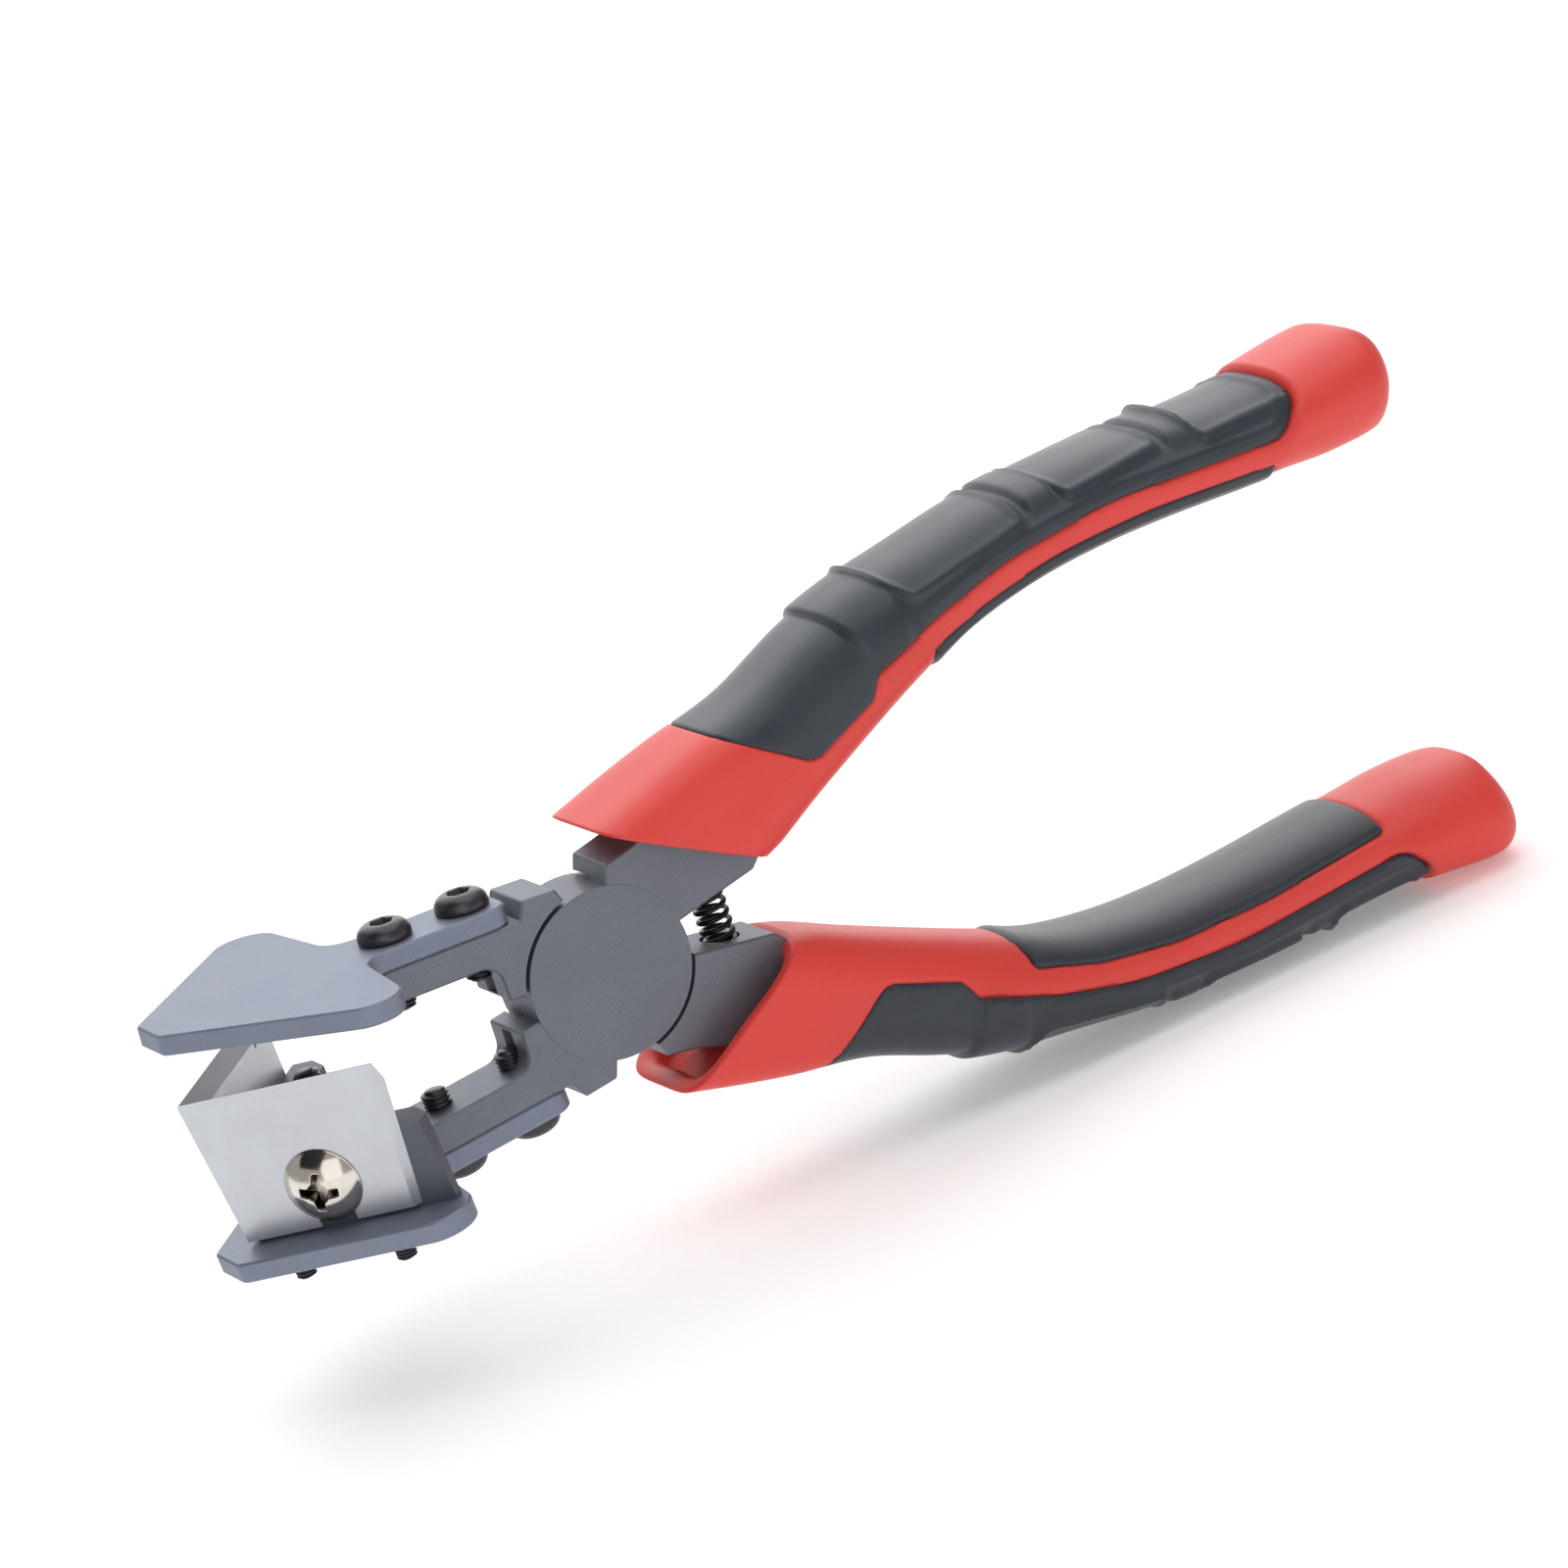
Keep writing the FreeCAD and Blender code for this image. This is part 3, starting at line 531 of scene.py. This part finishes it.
def shell(points, normals, triangles, depth):
    """Closed shell: the triangles, the same pushed in by depth, and a wall along their free edges."""
    used, index = np.unique(triangles, return_inverse=True)
    front = index.reshape(-1, 3)
    count = len(used)
    top = points[used]
    bottom = top - normals[used] * depth
    edges = np.concatenate([front[:, [0, 1]], front[:, [1, 2]], front[:, [2, 0]]])
    free = edges[~np.isin(edges[:, 0] * count + edges[:, 1], edges[:, 1] * count + edges[:, 0])]
    wall = np.concatenate([
        np.stack([free[:, 1], free[:, 0], free[:, 0] + count], -1),
        np.stack([free[:, 1], free[:, 0] + count, free[:, 1] + count], -1)])
    return np.concatenate([top, bottom]), np.concatenate([front, front[:, ::-1] + count, wall])


def cover_relief(point, edge_distance, settings):
    """Height of the soft cover's relief: collar, beaded finger pads, rings and a rim line."""
    x, y, z = point[..., 0], point[..., 1], point[..., 2]
    collar_front = COLLAR_FRONT[0] + COLLAR_LEAN * (COLLAR_FRONT[1] - z)
    collar = ease(x, collar_front - COLLAR_EDGE, collar_front + COLLAR_EDGE)
    on_crown = ease(CROWN_HALF_WIDTH - np.abs(y), 0.2, 3.0)
    behind_collar = ease(x, *COLLAR_BACK)
    relief = collar * settings.collar_height * (1 - COLLAR_FALL * behind_collar)
    for outline in FINGER_OUTLINES:
        inside = inside_distance(x, z, rounded_outline(outline))
        relief = relief + settings.finger_height * ease(inside, -0.1, 0.5)
        relief = relief + settings.bead_height * np.exp(-((inside - BEAD_PLACE[0]) / BEAD_PLACE[1]) ** 2)
    for low, high in RING_SPANS:
        middle = (low + high) / 2
        hump = ease(1 - np.abs(x - middle) / (RING_EASE * (high - low)), 0.0, 0.40)
        relief = relief + RING_HEIGHT * hump * on_crown
    rim_line = np.exp(-((edge_distance - RIM_PLACE[0]) / RIM_PLACE[1]) ** 2) * ease(x, *RIM_START)
    return relief + RIM_HEIGHT * rim_line


def turned_over(points):
    """Half a turn about the handle axis: the lower handle is the upper one turned over."""
    return points * (1, -1, -1)


def mouth_rows(first_row):
    """Rows of the collar's mouth, from the middle of its floor out over the rim to the outer surface."""
    centre = first_row.mean(0)
    across = first_row - centre
    outward = across / np.linalg.norm(across, axis=1)[:, None]
    along = np.cross(first_row[0] - centre, first_row[len(first_row) // 4] - centre)
    along /= np.linalg.norm(along)
    along *= np.sign(along[0])
    rows = [np.broadcast_to(centre + along * MOUTH_DEPTH, first_row.shape)]
    for inset, depth in ((MOUTH_WALL + 0.4, MOUTH_DEPTH), (MOUTH_WALL, MOUTH_DEPTH - 0.4),
                         (MOUTH_WALL - 0.1, 1.6), (MOUTH_WALL - 0.5, 0.8), (MOUTH_WALL - 1.2, 0.25),
                         (MOUTH_WALL - 1.9, 0.0), (0.5, 0.0), (0.12, 0.12)):
        rows.append(first_row - outward * inset + along * (depth - 0.3))
    return np.array(rows)


def build_grip(name, body, flip, settings, finishes):
    """One handle: hard red body with a mouth and seats, soft outer cover and soft inner pad."""
    stations = even_stations()
    angles = np.arange(GRIP_COLUMNS) * (2 * math.pi / GRIP_COLUMNS) + 0.01
    s, a = np.meshgrid(stations, angles, indexing="ij")
    s, a, cover = snap_to_outline(s, a, rounded_outline(COVER_OUTLINE))
    pad_outline = rounded_outline(PAD_OUTLINE)
    s, a, pad = snap_to_outline(s, a, pad_outline)
    plain = grip_surface(s, a)
    along, round_it = surface_slopes(s, a)
    normal = np.cross(round_it, along)
    normal /= np.linalg.norm(normal, axis=-1)[..., None]
    normal *= np.sign((normal * (plain - plain.mean(1, keepdims=True))).sum(-1))[..., None]

    x, y, z = plain[..., 0], plain[..., 1], plain[..., 2]
    seam = np.minimum(np.abs(cover), np.abs(pad))
    lip = (ease(x, *LIP_START) * ease(-cover, 0.0, LIP_WIDTH) * ease(z, *LIP_RISE)
           * ease(CAP_END_X - x, 0.0, CAP_FADE))
    seat = np.where((cover > 0) | (pad > 0), -RECESS_DEPTH, 0.0)
    hard = np.where(seam == 0, -settings.seam_depth, seat + settings.lip_height * lip)
    outer = plain + normal * hard[..., None]
    rows, columns = s.shape

    last = outer[-1]
    end_centre = last.mean(0)
    cap = np.array([end_centre + (last - end_centre) * k + np.array([0.2, 0, 0.0]) * (1 - k ** 2)
                    for k in (0.75, 0.5, 0.25, 0.0)])
    body_points = np.concatenate([mouth_rows(outer[0]), outer, cap])
    value = np.zeros(body_points.shape[:2])
    value[len(value) - rows - len(cap):-len(cap)] = np.where(np.abs(cover) < np.abs(pad), cover, pad)
    body_faces = split_cells(value, *value.shape)
    place = turned_over if flip else (lambda points: points)
    offset = np.array([0, PIVOT_Y, 0])

    made = [add_piece(name + "_collar_and_cap", place(body_points.reshape(-1, 3)) + offset, body_faces, body,
                      finishes["red"], [name + "_grip_body"])]
    soft_parts = (
        ("_soft_cover", cover, cover_relief(plain, cover, settings), "_grip_cover"),
        ("_soft_pad", pad, settings.pad_height * ease(pad, 0.0, 1.0), "_grip_pad"),
    )
    for suffix, field, relief, cad_node in soft_parts:
        height = np.where(field == 0, -settings.seam_depth, relief)
        points = (plain + normal * height[..., None]).reshape(-1, 3)
        triangles = split_cells(field, rows, columns)
        inside = field.ravel()[triangles].sum(1) > 1e-9
        shell_points, faces = shell(points, normal.reshape(-1, 3), triangles[inside], COVER_DEPTH)
        made.append(add_piece(name + suffix, place(shell_points) + offset, faces, body,
                              finishes["soft"], [name + cad_node]))
    return made


# ---------------------------------------------------------------- screws

def jaw_frame(upper):
    """Matrix from the closed lower jaw's own axes (head side down) to the rest position."""
    tilt = Matrix.Rotation(-JAW_TILT, 3, "Y")
    if upper:
        tilt = Matrix.Rotation(math.pi, 3, "X") @ tilt
    return np.array(tilt)


def flap_frame(side):
    """Columns along, up and outward of the front (-1) or rear (1) flap, and the foot of the fold line."""
    along = np.array([1, side, 0]) / math.sqrt(2)
    fold = np.array([-BLADE_RAKE, 0, 1])
    outward = np.cross(along, fold) * -side
    outward /= np.linalg.norm(outward)
    up = np.cross(outward, along) * -side
    return along, up, outward, np.array([BLADE_FOOT[0], 0, BLADE_FOOT[1]])


def thread_rows(radius, pitch, start, end, angle):
    """Rows of a thread: r = radius - depth * (1 - tri(z / pitch + angle / 2 pi)), faded in at both ends."""
    height = np.arange(start, end, pitch / 8)[:, None]
    phase = (height / pitch + angle / (2 * math.pi)) % 1.0
    crest = np.clip(1.25 * (1 - np.abs(2 * phase - 1)), 0, 1)
    depth = 0.54 * pitch * ease(height, start, start + pitch / 2)
    taper = 0.3 * radius * ease(height, end - 0.8 * pitch, end)
    return radius - depth * (1 - crest) - taper, height + 0 * angle


def turned_screw(rings, shank, columns=72):
    """Screw from rings (radius function of the angle, height), then the threaded shank and its end."""
    angle = np.arange(columns)[None, :] * (2 * math.pi / columns)
    radius = [ring(angle) if callable(ring) else np.full_like(angle, ring) for ring, _ in rings]
    height = [np.full_like(angle, z) for _, z in rings]
    shank_radius, shank_height = thread_rows(*shank, angle)
    end = shank[3]
    radius = np.concatenate(radius + [shank_radius, np.zeros_like(angle)])
    height = np.concatenate(height + [shank_height, np.full_like(angle, end)])
    points = np.stack([radius * np.cos(angle), radius * np.sin(angle), height], -1)
    return points, grid_quads(*radius.shape)


def hexagon(across_flats):
    """Radius of a hexagon at an angle: half its width over the cosine of the angle from a flat."""
    return lambda angle: across_flats / 2 / np.cos((angle % (math.pi / 3)) - math.pi / 6)


def socket_rings(head_radius, head_height, socket, depth):
    """Rings of a button head from the middle of its hexagon socket over the dome to the shank."""
    top = -head_height
    dome = [(head_radius * (0.50 + 0.50 * math.sin(t)), top + (head_height - 0.75) * (1 - math.cos(t)))
            for t in np.linspace(0, math.pi / 2, 9)]
    return ([(0.0, top + depth + 0.25), (hexagon(socket * 0.98), top + depth), (hexagon(socket), top + 0.2),
             (hexagon(socket * 1.12), top + 0.02), (head_radius * 0.46, top)] + dome
            + [(head_radius, -0.3), (head_radius - 0.08, -0.1), (head_radius - 0.28, 0.0), (2.0, 0.0)])


def build_jaw_screws(finish):
    """Button-head screws of both plates, the holder clamp screw and the three small holder screws."""
    face = -SEAT_HEIGHT - PLATE_THICKNESS
    button = socket_rings(*BUTTON_HEAD)
    jobs = [("anvil_plate_screw_outer", True, PLATE_SCREW_X[0], PLATE_SCREW_LENGTH, "anvil_screw_outer"),
            ("anvil_plate_screw_inner", True, PLATE_SCREW_X[1], PLATE_SCREW_LENGTH, "anvil_screw_inner"),
            ("base_plate_screw_outer", False, PLATE_SCREW_X[0], PLATE_SCREW_LENGTH, "base_screw_outer"),
            ("base_plate_screw_inner", False, PLATE_SCREW_X[1], PLATE_SCREW_LENGTH, "base_screw_inner"),
            ("clamp_screw", False, CLAMP_SCREW_X, CLAMP_SCREW_LENGTH, "holder_clamp_screw")]
    for name, upper, x, length, cad_node in jobs:
        points, faces = turned_screw(button, (*BUTTON_THREAD, length))
        placed = (points.reshape(-1, 3) + (x, 0, face)) @ jaw_frame(upper).T + (0, PIVOT_Y, 0)
        add_piece(name, placed, faces, UPPER_BODY if upper else LOWER_BODY, finish, [cad_node])

    # The holder screws point down: their rings are drawn head up and turned over into place.
    top = -SEAT_HEIGHT + HOLDER_HEIGHT
    rings = [(0.0, 1.2), (hexagon(1.9), 1.0), (hexagon(2.0), 0.1), (hexagon(2.2), 0.02),
             (2.5, 0.0), (2.8, 0.12), (1.5, 1.4)]
    length = HOLDER_HEIGHT + PLATE_THICKNESS + HOLDER_SCREW_POINT
    points, faces = turned_screw(rings, (*HOLDER_THREAD, length), columns=48)
    down = points.reshape(-1, 3) * (1, -1, -1)
    places = np.array([(x, y, top) for x, y in HOLDER_SCREW_PLACES])
    group = (down[None] + places[:, None]).reshape(-1, 3) @ jaw_frame(False).T + (0, PIVOT_Y, 0)
    group_faces = np.concatenate([faces + k * len(down) for k in range(len(places))])
    add_piece("holder_set_screws", group, group_faces, LOWER_BODY, finish, ["holder_screws"])


def cross_recess(radius, angle):
    """Depth of a cross recess: two crossed tapered slots, deepest in the middle."""
    x, y = radius * np.cos(angle), radius * np.sin(angle)
    slots = [ease(3.0 - np.abs(u), 0.0, 0.9) * ease(0.85 - 0.10 * np.abs(u) - np.abs(v), -0.08, 0.10)
             for u, v in ((x, y), (y, x))]
    centre = ease(1.5 - np.hypot(x, y), -0.2, 0.5)
    reach = np.clip(1 - (np.hypot(x, y) / 3.6) ** 2, 0, 1)
    return np.maximum(np.maximum(*slots), centre) * (1.0 + 1.5 * reach)


def build_blade_screws(finish, settings):
    """Truss-head screws with a cross recess: dome height over a polar grid, less the recess depth."""
    head_radius, head_height = BLADE_SCREW_HEAD
    thread_radius, pitch = BLADE_THREAD
    columns = 180
    angle = np.arange(columns)[None, :] * (2 * math.pi / columns)
    dome_radius = (head_radius ** 2 + head_height ** 2) / (2 * head_height)
    radius = np.linspace(0, head_radius - 0.12, 100)[:, None] + 0 * angle
    height = head_height - dome_radius + np.sqrt(dome_radius ** 2 - radius ** 2)
    height = height - cross_recess(radius, angle + settings.cross_turn)
    shank_radius, shank_height = thread_rows(thread_radius, pitch, 0.1, BLADE_SCREW_LENGTH, angle)
    rim = [(head_radius, 0.12), (head_radius, -0.0), (thread_radius, 0.0)]
    radius = np.concatenate([radius] + [np.full_like(angle, r) for r, _ in rim]
                            + [shank_radius, np.zeros_like(angle)])
    height = np.concatenate([height] + [np.full_like(angle, h) for _, h in rim]
                            + [-shank_height, np.full_like(angle, -BLADE_SCREW_LENGTH)])
    points = np.stack([radius * np.cos(angle), radius * np.sin(angle), height], -1).reshape(-1, 3)
    faces = grid_quads(*radius.shape)
    for side, name in ((-1, "front"), (1, "rear")):
        along, up, outward, foot = flap_frame(side)
        centre = foot + along * FLAP_SCREW_ALONG + up * FLAP_SCREW_UP
        placed = centre + points @ np.stack([along, up, outward])
        placed = placed @ jaw_frame(False).T + (0, PIVOT_Y, 0)
        add_piece("blade_cross_screw_" + name, placed, faces, LOWER_BODY, finish,
                  ["blade_screw_" + name])


def build_spring(finish, settings):
    """Coil spring: a wire circle carried along a helix whose pitch closes up over the end turns."""
    low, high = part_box("return_spring")
    centre = (low + high) / (2 * MM)
    length = (high.z - low.z) / MM
    wire = settings.wire_diameter / 2
    coil = (high.y - low.y) / MM / 2 - wire
    turn = np.linspace(0, settings.turns, int(settings.turns * 40))
    pitch = 2 * wire + 1.6 * ease(turn, 0.5, 1.3) * ease(settings.turns - turn, 0.5, 1.3)
    climb = np.concatenate([[0], np.cumsum((pitch[1:] + pitch[:-1]) / 2)])
    climb = climb / climb[-1] * (length - 2 * wire) - (length / 2 - wire)
    angle = turn * 2 * math.pi + 0.6
    path = np.stack([coil * np.cos(angle), coil * np.sin(angle), climb], -1)
    tangent = np.gradient(path, axis=0)
    tangent /= np.linalg.norm(tangent, axis=1)[:, None]
    radial = np.stack([np.cos(angle), np.sin(angle), 0 * angle], -1)
    side = np.cross(tangent, radial)
    round_wire = np.arange(16) * (2 * math.pi / 16)
    ring = (radial[:, None] * np.cos(round_wire)[None, :, None]
            + side[:, None] * np.sin(round_wire)[None, :, None]) * wire
    points = path[:, None] + ring
    first = np.repeat(path[:1, None], 16, 1)
    last = np.repeat(path[-1:, None], 16, 1)
    points = np.concatenate([first, points, last]) + np.array(centre)
    faces = grid_quads(*points.shape[:2])
    thing = add_piece("coil_spring", points, faces, LOWER_BODY, finish, ["return_spring"])
    thing.parent = None
    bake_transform(thing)
    return thing


# ---------------------------------------------------------------- settings and operators

class NipperGripSettings(bpy.types.PropertyGroup):
    """Sizes of the grips' relief, in millimetres."""

    seam_depth: bpy.props.FloatProperty(
        name="Seam depth", description="Depth of the groove between hard and soft plastic",
        default=0.28, min=0.0)
    collar_height: bpy.props.FloatProperty(
        name="Collar height", description="Height of the ring in front of the finger pads", default=0.9)
    finger_height: bpy.props.FloatProperty(
        name="Finger pad height", description="Height of the raised finger pads", default=0.6)
    bead_height: bpy.props.FloatProperty(
        name="Bead height", description="Height of the bead round each finger pad", default=0.5)
    pad_height: bpy.props.FloatProperty(
        name="Inner pad height", description="How far the inner pad stands proud", default=0.55)
    lip_height: bpy.props.FloatProperty(
        name="Cap lip height", description="How far the end cap stands above the cover", default=1.5)


class NipperMetalSettings(bpy.types.PropertyGroup):
    """Sizes of the metal pieces made here."""

    turns: bpy.props.FloatProperty(
        name="Spring turns", description="Turns of the return spring", default=8.0, min=2.0)
    wire_diameter: bpy.props.FloatProperty(
        name="Wire diameter", description="Diameter of the spring wire in millimetres", default=0.8, min=0.1)
    cross_turn: bpy.props.FloatProperty(
        name="Cross angle", description="Turn of the cross recess on its screw", default=math.radians(12),
        subtype="ANGLE")


class NipperStageSettings(bpy.types.PropertyGroup):
    """Camera and light."""

    lens: bpy.props.FloatProperty(
        name="Lens", description="Focal length in millimetres", default=163.9, min=10.0)
    distance: bpy.props.FloatProperty(
        name="Camera distance", description="From the camera to the object", default=1.0, unit="LENGTH")
    key_power: bpy.props.FloatProperty(
        name="Key light", description="Power of the overhead softbox in watts", default=8.5)
    fill_power: bpy.props.FloatProperty(
        name="Fill light", description="Power of the light beside the camera in watts", default=2.2)
    rear_power: bpy.props.FloatProperty(
        name="Rear light", description="Power of the softbox behind the object in watts", default=7.0)


class NIPPERS_OT_grips(bpy.types.Operator):
    """Make both two-part moulded grips"""

    bl_idname = "nippers.grips"
    bl_label = "Grips"

    def execute(self, context):
        finishes = {"red": moulded_polypropylene(), "soft": soft_elastomer()}
        settings = context.scene.nipper_grips
        build_grip("upper", LOWER_BODY, False, settings, finishes)
        build_grip("lower", UPPER_BODY, True, settings, finishes)
        return {"FINISHED"}


class NIPPERS_OT_screws(bpy.types.Operator):
    """Make the button-head screws, holder screws and blade screws"""

    bl_idname = "nippers.screws"
    bl_label = "Screws"

    def execute(self, context):
        build_jaw_screws(black_oxide("Black oxide screw", "#3c3a3d", "#565458"))
        build_blade_screws(nickel_plate(), context.scene.nipper_metal)
        return {"FINISHED"}


class NIPPERS_OT_spring(bpy.types.Operator):
    """Make the return spring between the levers"""

    bl_idname = "nippers.spring"
    bl_label = "Return spring"

    def execute(self, context):
        build_spring(black_oxide("Black spring wire", "#1b1b1d", "#303033"), context.scene.nipper_metal)
        return {"FINISHED"}


class NIPPERS_OT_steel(bpy.types.Operator):
    """Give the forged levers, plates, holder and blade their finishes"""

    bl_idname = "nippers.steel"
    bl_label = "Steel finishes"

    def execute(self, context):
        forged = phosphated_steel("Phosphated forged steel", "#61656d", "#838790")
        ground = phosphated_steel("Phosphated ground plate", "#6e7382", "#8e95a8", speckle_mm=0.35)
        holder = phosphated_steel("Phosphated holder", "#4f525a", "#686c75", speckle_mm=0.6)
        blade = ground_blade_steel()
        finishes = {
            "lower_jaw_lever": forged, "upper_jaw_lever": forged, "pivot_rivet": forged,
            "base_plate": ground, "anvil_plate": ground, "blade_holder": holder, "v_blade": blade,
        }
        for name, finish in finishes.items():
            thing = frame["nodes"][name]
            thing.data.materials.clear()
            thing.data.materials.append(finish)
        return {"FINISHED"}


class NIPPERS_OT_stage(bpy.types.Operator):
    """Make the floor, the lights and the camera"""

    bl_idname = "nippers.stage"
    bl_label = "Stage"

    def add_black_card(self, context, middle):
        """Dark card above the camera, seen only in mirror reflections: it casts no shadow."""
        toward = Vector((-0.62, -0.14, 0.70)).normalized()
        away = 0.7
        card = bpy.data.meshes.new("black_card")
        half = 0.34
        card.from_pydata([(-half, -half, 0), (half, -half, 0), (half, half, 0), (-half, half, 0)], [],
                         [(0, 1, 2, 3)])
        material, tree = start_material("Black card")
        shader = add_node(tree, "ShaderNodeBsdfPrincipled", in_Roughness=0.95)
        shader.inputs["Base Color"].default_value = linear("#0c0c0d")
        close_material(tree, shader)
        card.materials.append(material)
        thing = bpy.data.objects.new("black_card", card)
        thing.matrix_world = (Matrix.Translation(middle + toward * away)
                              @ toward.to_track_quat("Z", "Y").to_matrix().to_4x4())
        thing.visible_camera = False
        thing.visible_diffuse = False
        thing.visible_shadow = False
        context.scene.collection.objects.link(thing)
        thing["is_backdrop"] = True

    def execute(self, context):
        settings = context.scene.nipper_stage
        low, high = (Vector(corner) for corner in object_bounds())
        middle = (low + high) / 2
        size = 3.0
        floor = bpy.data.meshes.new("studio_floor")
        corners = [(x * size, y * size, low.z) for x, y in ((-1, -1), (1, -1), (1, 1), (-1, 1))]
        floor.from_pydata(corners, [], [(0, 1, 2, 3)])
        floor.materials.append(studio_paper())
        floor = bpy.data.objects.new("studio_floor", floor)
        context.scene.collection.objects.link(floor)
        floor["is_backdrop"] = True

        camera = bpy.data.objects.new("camera", bpy.data.cameras.new("camera"))
        camera.data.lens = settings.lens
        camera.data.sensor_width = 36.0
        camera.data.clip_start = 0.01
        azimuth, elevation, roll = math.radians(67.34), math.radians(-17.22), math.radians(17.8)
        ahead = Vector((math.cos(elevation) * math.cos(azimuth), math.cos(elevation) * math.sin(azimuth),
                        math.sin(elevation)))
        right = ahead.cross(Vector((0, 0, 1))).normalized()
        up = right.cross(ahead)
        turned_up = up * math.cos(roll) + right * math.sin(roll)
        turned_right = ahead.cross(turned_up)
        aim = Vector((32.4, PIVOT_Y - 8.3, 15.5)) * MM
        turn = Matrix((turned_right, turned_up, -ahead)).transposed()
        camera.matrix_world = Matrix.Translation(aim - ahead * settings.distance) @ turn.to_4x4()
        context.scene.collection.objects.link(camera)
        context.scene.camera = camera

        lights = (
            ("overhead_softbox", settings.key_power, 1.5, (0.05, 0.15, 0.95)),
            ("front_fill", settings.fill_power, 0.9, (-0.45, -0.95, 0.35)),
            ("rear_softbox", settings.rear_power, 1.2, (0.35, 1.15, 0.45)),
        )
        for name, power, width, place in lights:
            lamp = bpy.data.lights.new(name, "AREA")
            lamp.energy = power
            lamp.size = width
            thing = bpy.data.objects.new(name, lamp)
            position = middle + Vector(place)
            thing.matrix_world = (Matrix.Translation(position)
                                  @ (position - middle).to_track_quat("Z", "Y").to_matrix().to_4x4())
            context.scene.collection.objects.link(thing)
        self.add_black_card(context, middle)
        world = bpy.data.worlds.new("studio")
        world.use_nodes = True
        world.node_tree.nodes["Background"].inputs["Color"].default_value = linear("#ffffff")
        world.node_tree.nodes["Background"].inputs["Strength"].default_value = 0.42
        context.scene.world = world
        context.scene.view_settings.view_transform = "Standard"
        return {"FINISHED"}


class NIPPERS_PT_panel(bpy.types.Panel):
    """Sidebar panel that lists the pieces"""

    bl_label = "Tile Nippers"
    bl_idname = "NIPPERS_PT_panel"
    bl_space_type = "VIEW_3D"
    bl_region_type = "UI"
    bl_category = "Nippers"

    def draw(self, context):
        for group in (context.scene.nipper_grips, context.scene.nipper_metal, context.scene.nipper_stage):
            for key in group.__annotations__:
                self.layout.prop(group, key)
        for operator in OPERATORS:
            self.layout.operator(operator.bl_idname)


OPERATORS = (NIPPERS_OT_steel, NIPPERS_OT_grips, NIPPERS_OT_screws, NIPPERS_OT_spring, NIPPERS_OT_stage)
SETTINGS = {"nipper_grips": NipperGripSettings, "nipper_metal": NipperMetalSettings,
            "nipper_stage": NipperStageSettings}


def register():
    for cls in (*SETTINGS.values(), *OPERATORS, NIPPERS_PT_panel):
        bpy.utils.register_class(cls)
    for key, cls in SETTINGS.items():
        setattr(bpy.types.Scene, key, bpy.props.PointerProperty(type=cls))


def unregister():
    for key in SETTINGS:
        delattr(bpy.types.Scene, key)
    for cls in reversed((*SETTINGS.values(), *OPERATORS, NIPPERS_PT_panel)):
        bpy.utils.unregister_class(cls)


def main():
    register()
    for operator in OPERATORS:
        group, name = operator.bl_idname.split(".")
        getattr(getattr(bpy.ops, group), name)()


if __name__ == "__main__":
    main()
